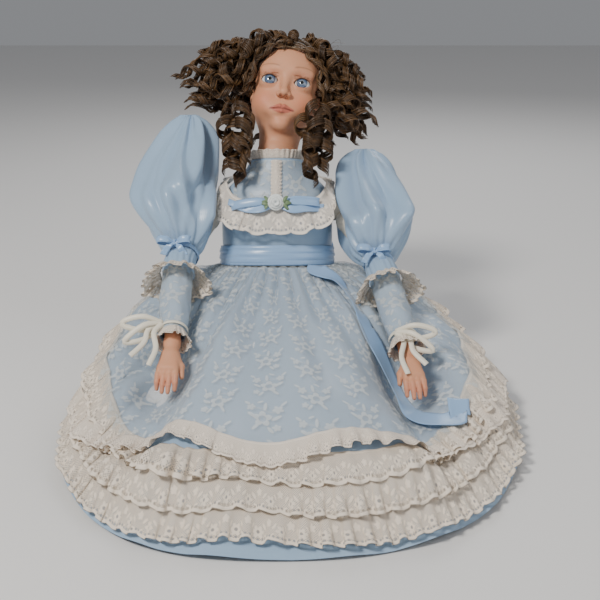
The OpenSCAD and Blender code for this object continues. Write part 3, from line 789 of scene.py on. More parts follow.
a = np.linspace(0, 2 * pi, 181)
t = np.linspace(122, 236, 60)
P = body_point(t[:, None], a[None])
w = Waves(31, 3, 40)
ww = (w(P[..., 0], P[..., 1], P[..., 2]) * 0.5
      + np.cos(40 * a)[None] * 0.35 * (1 - smooth(126, 140, t))[:, None])
P = P + unit(P - torso(0, 0, t)[:, None]) * (ww - 0.4)[..., None]
uv = pair(a[None] * 0.055, t[:, None] * MM)
bodice = dress(sheet_mesh("bodice_satin", P, uv, thick=0.5), "satin", "torso", ["bodice"])

# The yoke: net laid over the satin inside the collar's seam
x = np.linspace(-1, 1, 41)
t = np.linspace(190, 234, 30)
half = np.interp(t, [190, 205, 215, 225, 234], [46, 46, 40, 31, 24])
P = body_front(half[:, None] * x[None], t[:, None] + 0 * x[None], 1.0)
uv = pair(half[:, None] * x[None] * MM, t[:, None] * MM)
yoke = dress(sheet_mesh("yoke_net", P, uv), "floral", "torso")

# The wide collar is gathered along the yoke's edge, from behind one shoulder to behind the other
def both_sides(half, middle):
    """A curve given by its right half and its middle, with the left half mirrored."""
    half = np.array(half, float)
    return spline(np.vstack([half, [middle], half[::-1] * [-1, 1, 1]]), 420)


seam = both_sides([[-42, 22, 222], [-51, 4, 217], [-53, -14, 211], [-50, -27, 203],
                   [-43, -35, 195], [-28, -43, 190], [-10, -47, 188.5]], [0, -48, 188])
out = both_sides([[-0.75, 0.2, -0.35], [-0.8, 0.1, -0.5], [-0.72, -0.2, -0.62], [-0.55, -0.4, -0.75],
                  [-0.35, -0.35, -0.9], [-0.12, -0.22, -1], [0, -0.18, -1]], [0, -0.15, -1])
out = unit(out)
f = np.linspace(-1, 1, 420)
wid = 20 + 19 * (1 - smooth(0.35, 0.85, np.abs(f))) - 3 * bell(f, 0, 0.05)
v = np.linspace(0, 1, 14)
G = seam[None] + out[None] * (wid[None] * v[:, None])[..., None]
G[..., 1] -= 1.2
G[..., 0] = np.clip(G[..., 0], -60.6, 60.6)
tang = unit(np.gradient(seam, axis=0))
N = unit(np.cross(out, tang))
N = np.where((N[:, 1:2] > 0), -N, N)
G = torso(G[..., 0], G[..., 1], G[..., 2])
N = np.broadcast_to(torso(N[..., 0], N[..., 1], N[..., 2])[None], G.shape)
length = run(G[6])
collar = dress(frill("collar_lace", G, N, v, length, 13, 1.9, 36, seed=5, fullness=1.4),
               "lace_collar", "torso", ["bertha_collar"])

# Neck ruffle
n = 360
a = circle(n)
v = np.linspace(0, 1, 8)
r0, r1 = 27.5, 29.5
G = torso(np.stack([mix(r0, r1, k) * np.cos(a) for k in v]),
          np.stack([mix(r0, r1, k) * np.sin(a) for k in v]), (236 + 10 * v)[:, None] + 0 * a[None])
N = np.broadcast_to(torso(np.cos(a), np.sin(a), 0 * a)[None], G.shape)
length, total = loop_length(G[4])
ruff = dress(frill("neck_frill", G, N, v, length, 34, 0.8, 16, seed=6, wrap=True),
             "lace_narrow", "torso", ["neck_ruffle"])
round(total * 1.3 * MM, 3)

# Lace strip down the yoke, with its two frilled edges
x = np.linspace(-5.5, 5.5, 13)
t = np.linspace(192, 234, 160)
wob = np.cos(t * 1.6) * 0.5
X = x[None] + wob[:, None] * np.sign(x)[None] * (np.abs(x) > 4)[None]
P = (body_front(X, t[:, None] + 0 * X, 2.4)
     + torso(0, -1, 0)[None, None] * (0.8 + 0.9 * np.cos(x / 5.5 * pi)
                                      + 0.5 * np.cos(t * 1.6)[:, None] * (np.abs(x) > 4)[None])[..., None])
uv = pair(t[:, None] * MM * 1.2, (x[None] + 5.5) * MM * 1.35)
dress(sheet_mesh("placket_strip", P, uv, thick=0.3), "lace_narrow", "torso", ["placket_lace"])

# Waist sash, with soft creases along it
a = np.linspace(0, 2 * pi, 181)
t = np.linspace(122.5, 143.5, 15)
cr = (0.5 * np.sin(t * 0.9)[:, None] * np.cos(3 * a)[None] + 0.35 * np.sin(t * 1.7 + 1)[:, None]
      + 1.2 * np.sin((t - 122.5) / 21 * pi)[:, None])
P = torso((61.6 + cr) * np.cos(a)[None], (43.6 + cr) * np.sin(a)[None], t[:, None] + 0 * a[None])
uv = pair(a[None] * 0.055, t[:, None] * MM)
sash = dress(sheet_mesh("waist_sash_satin", P, uv, thick=0.5), "ribbon", "torso",
             ["waist_sash"])


def loop_ribbon(name, start, end, bulge, up, width, thick=0.4, pinch=0.45, n=48, crease=1.2):
    """A bow's loop: out to its end and back, in torso coordinates."""
    start, end, bulge = (np.asarray(q, float) for q in (start, end, bulge))
    path = spline([start, mix(start, end, 0.35) + bulge, mix(start, end, 0.8) + bulge * 0.9, end,
                   mix(start, end, 0.8) - bulge * 0.5, mix(start, end, 0.35) - bulge * 0.4,
                   start + (end - start) * 0.02], n)
    f = np.linspace(0, 1, n)
    w = width * (pinch + (1 - pinch) * smooth(0, 0.22, f) * (1 - smooth(0.78, 1, f)))
    return ribbon_mesh(name, torso(*path.T), torso(*up), w, thick, rows=7, crease=crease)


def tail_ribbon(name, points, up, width, thick=0.4, n=40, wave=1.5):
    path = spline(points, n)
    return ribbon_mesh(name, torso(*path.T), torso(*up), width, thick, rows=7,
                       folds=lambda s, f: wave * np.sin(s * 9 + f * 2) * s)


# Chest bow: two long loops and two tails behind the rosette
parts = []
for s in (-1, 1):
    parts.append(loop_ribbon("l", [s * 3, -51, 189], [s * 46, -45, 186 + s * 2], [0, -5, 1.5],
                             (0, 0.2, 1), 9.5))
    parts.append(tail_ribbon("t", [[s * 2, -52, 187], [s * 16, -56, 181], [s * 33, -52, 182],
                                   [s * 50, -44, 186 - s * 3]], (0, 0.3, 1), 8))
dress(join("chest_bow_satin", parts), "ribbon", "torso", ["chest_bow"])

# Rosette: ribbon wound in petals, and its leaves
parts = []
for ring, (count, rad, size) in enumerate(((6, 6.2, 5.4), (5, 3.6, 4.4), (3, 1.4, 3.2))):
    for k in range(count):
        th = 2 * pi * k / count + ring * 0.5
        uu = np.linspace(-1.15, 1.15, 13)
        vv = np.linspace(0, 1, 8)
        A = th + uu * 0.95
        X = (rad * 0.35 + size * vv[:, None] * 0.9) * np.cos(A)[None] * 0.95
        Z = (rad * 0.35 + size * vv[:, None] * 0.9) * np.sin(A)[None] * 0.95
        Y = (-54.5 - ring * 1.8 - 3.6 * np.sin(vv * pi * 0.62)[:, None] * (1 - 0.25 * uu ** 2)[None]
             + 1.0 * vv[:, None])
        P = torso(1.28 * X, Y + 0 * X, 188 + 1.28 * Z)
        parts.append(sheet_mesh("p", P, pair(uu[None] * 0.004, vv[:, None] * 0.004), thick=0.35))
dress(join("rosette_ribbon", parts), "rosette", "torso", ["rosette"])
parts = []
for s in (-1, 1):
    for k, (dx, dz, turn) in enumerate(((13, -1, 0.1), (12, -6, -0.5), (11, 4, 0.6))):
        f = np.linspace(0, 1, 12)
        w = np.sin(f * pi) ** 0.8 * 5.4 + 0.3
        c, sn = math.cos(turn), math.sin(turn)
        path = np.stack([s * (6 + (dx - 3) * f * c), -54.6 - 2.2 * np.sin(f * pi) - k * 0.3,
                         188 + dz * f + (dx - 3) * f * sn * 0.4], -1)
        parts.append(ribbon_mesh("f", torso(*path.T), torso(0, 0.1, 1), w, 0.3, rows=5, crease=-0.7))
dress(join("rosette_foliage", parts), "leaf", "torso", ["rosette_leaves"])


# ---------------------------------------------------------------- sash ends and back bow

def skirt_ribbon(name, stops, width, off, n=110, lift=0.0, turn=0.0, crease=0.8):
    """A ribbon laid on the skirt. stops are (share of the way down, angle in degrees)."""
    q = spline(np.asarray(stops, float) * np.array([100, 1.0]), n)
    u, a = q[:, 0] / 100, np.radians(q[:, 1])
    f = np.linspace(0, 1, n)
    w = 0.5 * np.sin(f * 21) + 0.5 * np.sin(f * 11 + 1)
    p, nr = skirt_surface(u, a, off + lift * np.maximum(w, 0) + 0 * u)
    nr = unit(np.array([np.convolve(nr[:, k], np.ones(15) / 15, "same") for k in range(3)]).T)
    t = along(p)
    across = unit(np.cross(nr, t) + nr * (turn * np.sin(f * 7))[:, None])
    k = np.ones(9) / 9
    pp = np.stack([np.convolve(np.pad(p[:, c], 4, mode="edge"), k, "valid") for c in range(3)], -1)
    return ribbon_mesh(name, pp, across, width, 0.4, rows=9, crease=crease)


tail = dress(skirt_ribbon("sash_end_left",
                          [[0.02, 308], [0.12, 312], [0.24, 314], [0.33, 314.5], [0.43, 316],
                           [0.54, 317.5], [0.65, 317.5], [0.745, 320.5], [0.775, 326],
                           [0.745, 333]], 20, 8.4, lift=2.4, turn=0.16),
             "ribbon", "torso", ["sash_tail_left"])
parts = []
for s in (-1, 1):
    parts.append(loop_ribbon("b", [s * 4, 50, 134], [s * 62, 50, 138], [0, 12, 4], (0, 0.25, 1), 22, 0.5,
                             crease=2))
    parts.append(loop_ribbon("b", [s * 4, 50, 131], [s * 56, 54, 126], [0, 13, -2], (0, 0.25, 1), 19, 0.5,
                             crease=2))
knot = spline([[-6, 52, 133], [-4, 60, 133], [0, 62.5, 133], [4, 60, 133], [6, 52, 133]], 14)
parts.append(ribbon_mesh("k", torso(*knot.T), torso(0, 0, 1), 17, 1.0, rows=9, crease=0))
back_bow = dress(join("sash_bow_satin", parts), "ribbon", "torso", ["sash_back_bow"])


# ---------------------------------------------------------------- sleeves

ELBOW_T = {-1: np.array([-99, -73.2, 123]), 1: np.array([110, -66.4, 114.6])}
ARM_WAY = np.array([-0.2, -0.72, -0.64])
NECK_TILT = math.radians(48)
PUFF = {
    -1: [[97, -56, 142, 27, 28, 42], [101, -44, 156, 37, 41, 28], [105, -24, 178, 42, 49, 13],
         [105, -9, 206, 41, 49, 4],
         [103, 0, 235, 38, 45, 0], [98, 3, 260, 30, 36, 0], [95, 4, 277, 19, 22, 0], [94, 4, 285, 8, 9, 0]],
    1: [[105, -50, 133, 27, 28, 42], [107, -38, 147, 37, 41, 28], [109, -20, 166, 41, 47, 12],
        [107, -8, 188, 41, 46, 4],
        [104, -1, 210, 38, 43, 0], [100, 2, 229, 31, 35, 0], [97, 3, 241, 21, 24, 0], [96, 3, 248, 9, 10, 0]],
}


def neck_ring(s, d):
    e = ELBOW_T[s]
    return [abs(e[0]) + 0.2 * d, e[1] + ARM_WAY[1] * d, e[2] + ARM_WAY[2] * d]


def puff(s):
    table = np.array([neck_ring(s, -12) + [15, 15, 48], neck_ring(s, -18) + [14.6, 14.6, 48]] + PUFF[s],
                     float)
    m, n = 96, 181
    q = np.stack([spline(np.stack([np.arange(len(table)) * 20.0, table[:, k]], -1), m)[:, 1]
                  for k in range(6)], -1)
    a = np.linspace(0, 2 * pi, n)
    b = a if s > 0 else pi - a
    f = np.linspace(0, 1, m)[:, None]
    w1, w2, w3 = Waves(41 + s, 3, 2.6), Waves(51 + s, 3, 1.3), Waves(61 + s, 3, 0.55)
    c, sn = np.cos(a)[None], np.sin(a)[None]
    wv = w1(c, sn, f * 1.6)
    low = np.cos(15 * a[None] + 3.0 * wv) * 1.7 * smooth(0.06, 0.12, f) * (1 - smooth(0.16, 0.42, f))
    deep = (np.maximum(np.cos(5 * a[None] + 3.6 * wv + 1.2 * f), -0.5) * 7.4
            + np.cos(9 * a[None] - 4.2 * wv) * 2.8) * smooth(0.12, 0.4, f) * (1 - 0.6 * smooth(0.8, 1.0, f))
    top = np.cos(13 * a[None] + 2.0 * wv) * 1.3 * smooth(0.55, 0.85, f) * (1 - smooth(0.93, 1.0, f))
    fine = w2(c, sn, f * 1.4) * 2.4 + w3(c, sn, f * 1.2) * 0.55
    d = low + deep + top + fine * smooth(0.1, 0.3, f) - 1.6
    rx = q[:, 3:4] + d
    ry = q[:, 4:5] + d
    tilt = np.radians(q[:, 5:6])
    X = s * np.maximum(62.6 + 0.4 * (1 + np.cos(9 * a[None])), q[:, 0:1] + rx * np.cos(b)[None])
    Y = q[:, 1:2] + ry * np.sin(a)[None] * np.cos(tilt)
    Z = q[:, 2:3] - ry * np.sin(a)[None] * np.sin(tilt)
    P = torso(X, Y, Z)
    arc = run(P[:, 30])
    uv = pair(a[None] * 0.04, arc[:, None] * MM)
    # The crown closes in a small pinch of gathers
    tip = P[-1].mean(0)
    P = np.concatenate([P, mix(P[-1], tip, 0.6)[None] + np.array([0, 0.2, 0.7]),
                        np.broadcast_to(tip, P[-1].shape)[None] + np.array([0, 0.2, 0.6])])
    uv = np.concatenate([uv, uv[-1:] + 0.003, uv[-1:] + 0.006])
    ob = dress(sheet_mesh("puff_satin_" + SIDE[s], P, uv, thick=0.5), "satin", "arm_" + SIDE[s],
               ["puff_sleeve_" + SIDE[s]])


for s in (-1, 1):
    puff(s)


def cuff(s):
    """The sleeve's gathered edge from the puff's neck over the elbow."""
    d, side, top = arm_frame(s)
    a = np.linspace(0, 2 * pi, 97)
    end = ELBOW[s] + d * 20
    first = np.array(neck_ring(s, -15))
    b = a if s > 0 else pi - a
    start = torso(s * (first[0] + 14.4 * np.cos(b)), first[1] + 14.4 * np.sin(a) * math.cos(NECK_TILT),
                  first[2] - 14.4 * np.sin(a) * math.sin(NECK_TILT))
    c0, c1 = start.mean(0), end
    rows = []
    for f in np.linspace(0, 1, 16):
        c = mix(mix(c0, ELBOW[s], min(2 * f, 1)), c1,
                max(2 * f - 1, 0)) if f > 0.5 else mix(c0, ELBOW[s], 2 * f)
        ray = mix(unit(start - c0), unit(arm_ring(s, 20, 15, 14, pi + a) - end), smooth(0.2, 0.8, f))
        rows.append(c + unit(ray) * (14.6 + 1.3 * math.sin(pi * f)
                                     + 0.5 * np.cos(15 * a) * math.sin(pi * f) ** 0.5)[:, None])
    P = np.stack(rows)
    uv = pair(a[None] * 0.015, np.linspace(0, 0.036, 16)[:, None])
    ob = dress(sheet_mesh("sleeve_cuff_" + SIDE[s], P, uv, thick=0.4), "satin", None)
    tuple((ELBOW[s] - d * 14) * MM)
    tuple((ELBOW[s] + d * 14) * MM)
    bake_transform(ob)


def arm_frame(s):
    d = unit(WRIST[s] - ELBOW[s])
    side = unit(np.cross(d, [0, 0, 1]))
    return d, side, np.cross(side, d)


def arm_ring(s, dist, r, down, a):
    """A ring round the forearm, flatter underneath."""
    d, side, top = arm_frame(s)
    h = np.where(np.sin(a) > 0, r, down)
    return ELBOW[s] + d * dist + side * (r * np.cos(a))[:, None] + top * (h * np.sin(a))[:, None]


def arm_frill(name, s, rows, waves, amp, mat, width, node, seed):
    """Lace gathered round the forearm. rows are distance, radius and radius underneath."""
    n = 360
    a = circle(n)
    v = np.linspace(0, 1, 10)
    q = np.array([[np.interp(k, np.linspace(0, 1, len(rows)), [r[c] for r in rows]) for c in range(3)]
                  for k in v])
    G = np.stack([arm_ring(s, *r, a) for r in q])
    axis = np.stack([ELBOW[s] + arm_frame(s)[0] * r[0] for r in q])
    N = unit(G - axis[:, None] - arm_frame(s)[0] * 3)
    length, total = loop_length(G[5])
    ob = frill(name, G, N, v, length, waves, amp, width, seed=seed, wrap=True, fullness=1.6, roll=0.6)
    return dress(ob, mat, "forearm_" + SIDE[s], [node]), total


def sleeve(s):
    """The close lower sleeve: satin under net."""
    n, m = 121, 50
    a = np.linspace(0, 2 * pi, n)
    dist = np.linspace(16, 99, m)
    r = np.interp(dist, [16, 39, 60, 85, 99], [14.6, 15.2, 14.8, 12.8, 11.6])
    dn = np.interp(dist, [16, 39, 60, 85, 99], [13.0, 13.3, 12.9, 11.8, 10.9])
    G = np.stack([arm_ring(s, dist[k], r[k], dn[k], a) for k in range(m)])
    axis = ELBOW[s] + arm_frame(s)[0] * dist[:, None]
    N = unit(G - axis[:, None])
    w = Waves(71 + s, 3, 17)
    ff = (w(G[..., 0], G[..., 1], G[..., 2]) * 0.7
          + 0.5 * np.cos(11 * a)[None] * (1 - smooth(20, 50, dist))[:, None])
    P = G + N * (ff - 0.2)[..., None]
    uv = pair(a[None] * 0.014, dist[:, None] * MM)
    name = SIDE[s]
    ob = dress(sheet_mesh("lower_sleeve_satin_" + name, P, uv, thick=0.5), "satin", "forearm_" + name,
               ["lower_sleeve_" + name])
    ob = dress(sheet_mesh("lower_sleeve_net_" + name, P + N * 0.9, uv), "floral", "forearm_" + name)


for s in (-1, 1):
    name = SIDE[s]
    sleeve(s)
    cuff(s)
    low = 17.5 if s < 0 else 14.2
    ob, total = arm_frill("elbow_frill_" + name, s,
                          [[13, 17, low - 2], [20, 24, low - 0.5], [36, 33, low]], 17, 1.9, "lace", 30,
                          "elbow_ruffle_" + name, 81 + s)
    round(total * 1.3 * MM, 3)
    ob, total = arm_frill("wrist_frill_" + name, s, [[96, 12.2, 11.4], [103, 14, 12], [111, 17, 12.6]],
                          15, 0.9, "lace_narrow", 16, "wrist_lace_" + name, 91 + s)
    round(total * 1.25 * MM, 3)
    d, side, top = arm_frame(s)
    # Cream ribbon tied round the wrist, with two loops and two ends
    a = np.linspace(0, 2 * pi, 49)
    ring = arm_ring(s, 93, 14.2, 13.2, a)
    parts = [ribbon_mesh("r", ring, d, 3.2, 0.3, rows=3)]
    base = (ELBOW[s] + d * 93 + (-side * s * 9 + top * 12) if s < 0 else ELBOW[s] + d * 93 + side * 9
            + top * 11)
    out_x = np.array([s * 1.0, 0, 0])
    for k, (ex, ey, ez) in enumerate(((34, -4, 3), (31, -14, -10))):
        tip = base + out_x * ex + np.array([0, ey, ez])
        mid = mix(base, tip, 0.5)
        p = spline([base, mid + [0, -3, 7], tip + [0, -2, 2], tip + [s * 1.5, -3, -3], mid + [0, -5, -6],
                    base + [0, -1, -1]], 40)
        parts.append(ribbon_mesh("r", p, unit(np.cross(along(p), [0.1, -0.9, 0.42])), 5.0, 0.25, rows=3))
    for k, (ex, ey, ez) in enumerate(((26, -34, -19), (8, -44, -24))):
        tip = base + out_x * ex + np.array([0, ey, ez])
        p = spline([base, mix(base, tip, 0.3) + [s * 4, 0, 3], mix(base, tip, 0.65) + [s * -2, 0, 1.5],
                    tip], 40)
        parts.append(ribbon_mesh("r", p, unit(np.cross(along(p), [0.15, -0.9, 0.42])), 5.0, 0.25, rows=3))
    dress(join("wrist_tie_" + name, parts), "cream_ribbon", "forearm_" + name,
          ["wrist_ribbon_" + name])
    # Blue ribbon round the gathers above the elbow, with its bow
    e = np.array(neck_ring(s, -15.5))
    a = np.linspace(0, 2 * pi, 61)
    rr = 16.0 + 0.25 * np.cos(15 * a)
    ring = torso(s * (e[0] + rr * np.cos(a)), e[1] + rr * np.sin(a) * math.cos(NECK_TILT),
                 e[2] - rr * np.sin(a) * math.sin(NECK_TILT))
    up = torso(0, math.sin(NECK_TILT), math.cos(NECK_TILT))
    parts = [ribbon_mesh("r", ring, up, 5.5, 0.5, rows=5, crease=0.8)]
    c = np.array([s * (e[0] + (7 if s < 0 else -6)), e[1] - 14.5, e[2] + 14])
    for k in (-1, 1):
        parts.append(loop_ribbon("l", c + [k * 1.5, 0, 0], c + [k * 17, -1.5, 2.0], [0, -4, 2.0],
                                 (0, 0.6, 1), 8))
        parts.append(tail_ribbon("t", [c + [k * 1, -1, 0], c + [k * 6, -4, -5], c + [k * 11, -4, -13]],
                                 (k * 1.0, 0, 0.25), 6.5))
    parts.append(loop_ribbon("l", c + [-2.6, 0.5, 0], c + [2.6, 0.5, 0], [0, -4, 0], (0, 0.6, 1), 6, pinch=1))
    dress(join("elbow_bow_" + name, parts), "ribbon", "arm_" + name, ["elbow_ribbon_" + name])


# ---------------------------------------------------------------- head

EYE = np.array([17.5, -25.0, 71.0])
EYE_R = 10.0


def almond(dx):
    """Upper and lower edge of the eye's opening, from the eye's middle."""
    k = np.clip(1 - np.abs(dx / 8.8) ** 2.2, 0, 1)
    return 4.9 * k ** 0.75 - 0.2, -4.5 * k ** 0.8 - 0.2


def skull(x, y, z):
    return blend_min(ball(x, y, z, (0, 4, 90), (38, 40, 38.5)),
                     ball(x, y, z, (0, -3, 84), (34.5, 34.5, 32)), 8)


def cut(f, g, k):
    """A field with a soft hollow taken out of it."""
    return -blend_min(-f, g, k)


def face_field(x, y, z):
    ax = np.abs(x)
    f = blend_min(skull(x, y, z), ball(x, y, z, (0, -5, 52), (34.5, 29, 33.5)), 10)
    f = blend_min(f, ball(ax, y, z, (18.5, -18.5, 49), (14, 14, 15)), 9)
    f = blend_min(f, ball(x, y, z, (0, -26, 25.5), (10, 8.5, 7.5)), 8)
    f = blend_min(f, capsule(x, y, z, (0, 1, 2), (0, 3, 28), 21, 23), 8)
    f = np.minimum(f, ball(x, y, z, (0, 0, 0), 22))
    # Brow, eye sockets and lids
    f = blend_min(f, capsule(ax, y, z, (9, -32, 83.5), (24, -27, 83), 3.8, 2.8), 7)
    f = cut(f, ball(ax, y, z, (16.5, -41, 72), (12, 8.5, 8.5)), 5)
    f = blend_min(f, ball(ax, y, z, EYE, EYE_R + 1.3), 2)
    crease = capsule(ax, y, z, (9.5, -34.6, 78.0), (25.5, -30.5, 77.6), 0.5, 0.4)
    f = cut(f, crease, 1.2)
    # Nose
    f = blend_min(f, capsule(x, y, z, (0, -33.5, 75), (0, -39.5, 59), 2.9, 4.0), 5)
    f = blend_min(f, ball(x, y, z, (0, -41.2, 56.4), (4.6, 4.0, 3.9)), 3)
    f = blend_min(f, ball(ax, y, z, (5.4, -37.6, 55.2), (3.1, 3.6, 2.9)), 2.2)
    f = cut(f, capsule(ax, y, z, (2.9, -41, 52), (3.4, -37.5, 54), 0.9, 1.0), 0.8)
    # Lips
    f = blend_min(f, ball(x, y, z, (0, -30.5, 39.5), (16, 6.8, 9)), 5)
    f = cut(f, capsule(x, y, z, (0, -39.8, 50), (0, -38.4, 45), 0.9, 1.4), 1.6)
    f = blend_min(f, capsule(ax, y, z, (2.4, -36.9, 42.4), (12.8, -31.2, 39.7), 2.3, 0.8), 1.6)
    f = blend_min(f, capsule(ax, y, z, (0.0, -36.8, 37.2), (9.0, -33.2, 38.1), 2.7, 1.0), 1.6)
    f = cut(f, capsule(ax, y, z, (0, -39.4, 40.0), (13.8, -32.9, 39.1), 0.6, 0.5), 0.9)
    f = cut(f, ball(x, y, z, (0, -36.8, 31.6), (6.5, 2.2, 1.8)), 2.6)
    # Ears
    f = blend_min(f, ball(ax, y, z, (36, 3, 63), (3.2, 6.5, 9.5)), 3)
    f = cut(f, ball(ax, y, z, (39.6, 1, 64), (2.2, 3.2, 5.5)), 1.5)
    # The eyes' hollows and openings
    dx = ax - EYE[0]
    up, lo = almond(dx)
    opening = np.maximum(np.maximum(z - EYE[2] - up, lo - (z - EYE[2])), np.maximum(np.abs(dx) - 8.6, y + 24))
    f = np.maximum(f, -np.maximum(opening, ball(ax, y, z, EYE, EYE_R + 6)))
    return np.maximum(f, -ball(ax, y, z, EYE, EYE_R + 0.15))


def spot(x, z, cx, cz, rx, rz):
    """A soft round patch of colour."""
    return np.exp(-(((x - cx) / rx) ** 2) - ((z - cz) / rz) ** 2)


P, F = surface_nets(face_field, (-46, -50, -24), (46, 50, 134), 0.72)
face = build("bisque_head", head(P), F)
skin = np.array([0.66, 0.315, 0.18])
x, y, z = P[:, 0], P[:, 1], P[:, 2]
ax = np.abs(x)
front = smooth(-10, -26, y)
lips_z = z - 40.0 + 0.006 * ax ** 2
up, lo = almond(ax - EYE[0])
near = smooth(9.8, 8.4, np.abs(ax - EYE[0])) * smooth(-29, -31, y)
z_up = 4.4 - 0.29 * np.maximum(ax - 2.6, 0) - 0.9 * np.exp(-(ax / 1.4) ** 2)
z_lo = -5.2 + 0.034 * ax ** 2
lips = (smooth(0.5, -0.4, lips_z - z_up) * smooth(-0.5, 0.4, lips_z - z_lo) * smooth(14.2, 13.0, ax)
        * smooth(-30.5, -32, y))
brow_z = 85.2 + 2.8 * np.sin(np.clip((ax - 7) / 22, 0, 1) * pi * 0.8)
brow = np.exp(-(((z - brow_z) / (1.1 - 0.02 * ax)) ** 2)) * smooth(6.5, 10, ax) * smooth(31, 26, ax) * front
col = np.tile(skin, (len(P), 1)) * (1 + Waves(77, 3, 16)(x, y, z)[:, None] * 0.012)
for tint, share in (
        ((0.66, 0.20, 0.10), 0.60 * spot(ax, z, 21, 49, 12, 11) * front),
        ((0.66, 0.22, 0.12), 0.25 * spot(x, z, 0, 28, 9, 8) * front),
        ((0.62, 0.22, 0.14), 0.30 * spot(ax, z, 18, 79, 10, 4) * front),
        ((0.50, 0.13, 0.09), 0.85 * lips),
        ((0.16, 0.035, 0.03), 0.80 * np.exp(-((lips_z + 0.1) / 0.75) ** 2) * smooth(14.2, 12.2, ax)
         * smooth(-30.5, -32, y)),
        ((0.07, 0.03, 0.02), 0.92 * np.exp(-(((z - EYE[2] - up - 0.3) / 0.95) ** 2)) * near),
        ((0.25, 0.09, 0.06), 0.50 * np.exp(-(((z - EYE[2] - lo + 0.4) / 0.6) ** 2)) * near),
        ((0.32, 0.13, 0.07), 0.35 * np.exp(-(((z - 78.2) / 0.8) ** 2))
         * smooth(10.5, 7.5, np.abs(ax - EYE[0])) * front),
        ((0.20, 0.09, 0.04), 0.55 * brow),
        ((0.20, 0.06, 0.04), 0.75 * spot(ax, z, 3.1, 53.2, 1.4, 1.1) * smooth(-35.5, -37, y))):
    col = mix(col, np.array(tint), share[:, None])
dress(face, "bisque", "head", ["head_shell"])
paint(face, np.clip(col, 0, 1))


def eye_ball(s):
    """A glass eye: white, a dark rimmed grey-blue iris and a pupil, looking forward."""
    n, m = 64, 48
    gaze = unit(np.array([-0.03 * s + 0.01, -1, 0.06]))
    side = unit(np.cross(gaze, [0, 0, 1]))
    up = np.cross(side, gaze)
    polar = pi * np.linspace(0, 1, m) ** 1.35
    a = np.linspace(0, 2 * pi, n + 1)
    bulge = 1 + 0.045 * np.exp(-((polar / 0.42) ** 4))
    P = ((np.cos(polar) * bulge)[:, None, None] * gaze
         + (np.sin(polar) * bulge)[:, None, None]
         * (side * np.cos(a)[:, None] + up * np.sin(a)[:, None])[None])
    ob = sheet_mesh("glass_eye_" + SIDE[s], head(P * (EYE_R - 0.05) + EYE * [s, 1, 1]))
    r = np.broadcast_to(polar[:, None], P.shape[:2])
    aa = np.broadcast_to(a[None], P.shape[:2])
    ray = 0.5 + 0.5 * np.cos(23 * aa + 2 * np.sin(7 * aa))
    iris = mix(np.array([0.06, 0.10, 0.19]), np.array([0.17, 0.24, 0.34]), (ray * 0.6)[..., None])
    iris = mix(iris, np.array([0.48, 0.52, 0.52]), smooth(0.30, 0.20, r)[..., None] * 0.5)
    iris = mix(iris, np.array([0.02, 0.035, 0.07]), smooth(0.50, 0.60, r)[..., None])
    c = mix(iris, np.array([0.72, 0.71, 0.70]), smooth(0.61, 0.66, r)[..., None])
    c = mix(c, np.array([0.004, 0.004, 0.005]), smooth(0.205, 0.18, r)[..., None])
    dress(ob, "eye", "head", ["eye_" + SIDE[s]])
    paint(ob, c.reshape(-1, 3))


# Lashes: fine curved hairs along each upper lid
paths = []
for s in (-1, 1):
    eye_ball(s)
    for k, dx in enumerate(np.linspace(-7.6, 7.8, 26)):
        up, _ = almond(dx)
        root = np.array([EYE[0] + dx, EYE[1] - math.sqrt(max(EYE_R ** 2 - dx ** 2 - up ** 2, 4)) * 0.99
                         - 0.6, EYE[2] + up + 0.1])
        f = np.linspace(0, 1, 6)[:, None]
        hair_way = unit(np.array([dx * 0.05, -1.0, 0.25]))
        p = root + f * 3.6 * hair_way + f ** 2 * np.array([dx * 0.08, 0.4, 2.4])
        paths.append(head(p * [s, 1, 1]))
lash = tube_mesh("lashes", paths, [np.array([0.16, 0.15, 0.13, 0.11, 0.08, 0.04])] * len(paths), 3)
M["lash"] = material("lash", (0.02, 0.012, 0.008), 0.6)
dress(lash, "lash", "head")


# ---------------------------------------------------------------- hair

def curl(core, radius, turns, strands, spread, seed, lo=0.5, thick=0.62, n_turn=15):
    """Strands of one corkscrew lock about a core path."""
    r = np.random.default_rng(seed)
    n = max(int(turns * n_turn), 16)
    c = spline(core, n)
    t, a, b = frames(c)
    f = np.linspace(0, 1, n)
    phase = r.uniform(0, 2 * pi) + 2 * pi * turns * f * (1 if r.random() < 0.5 else -1)
    R = radius * (lo + (1 - lo) * smooth(0, 0.3, f)) * (1 - 0.45 * smooth(0.85, 1, f))
    out = []
    for k in range(strands):
        off = (k - (strands - 1) / 2) / max(strands - 1, 1)
        jit = r.normal(size=3) * 0.25
        ph = phase + off * 0.10 + 0.12 * np.sin(f * 9 + k)
        rr = R * (1 + 0.10 * jit[0]) + 0.5 * np.sin(f * 13 + k * 1.7)
        p = c + t * (off * spread) + a * (rr * np.cos(ph))[:, None] + b * (rr * np.sin(ph))[:, None]
        out.append(p)
    w = thick * (0.55 + 0.45 * smooth(0, 0.08, f)) * (1 - 0.6 * smooth(0.9, 1, f))
    return out, w


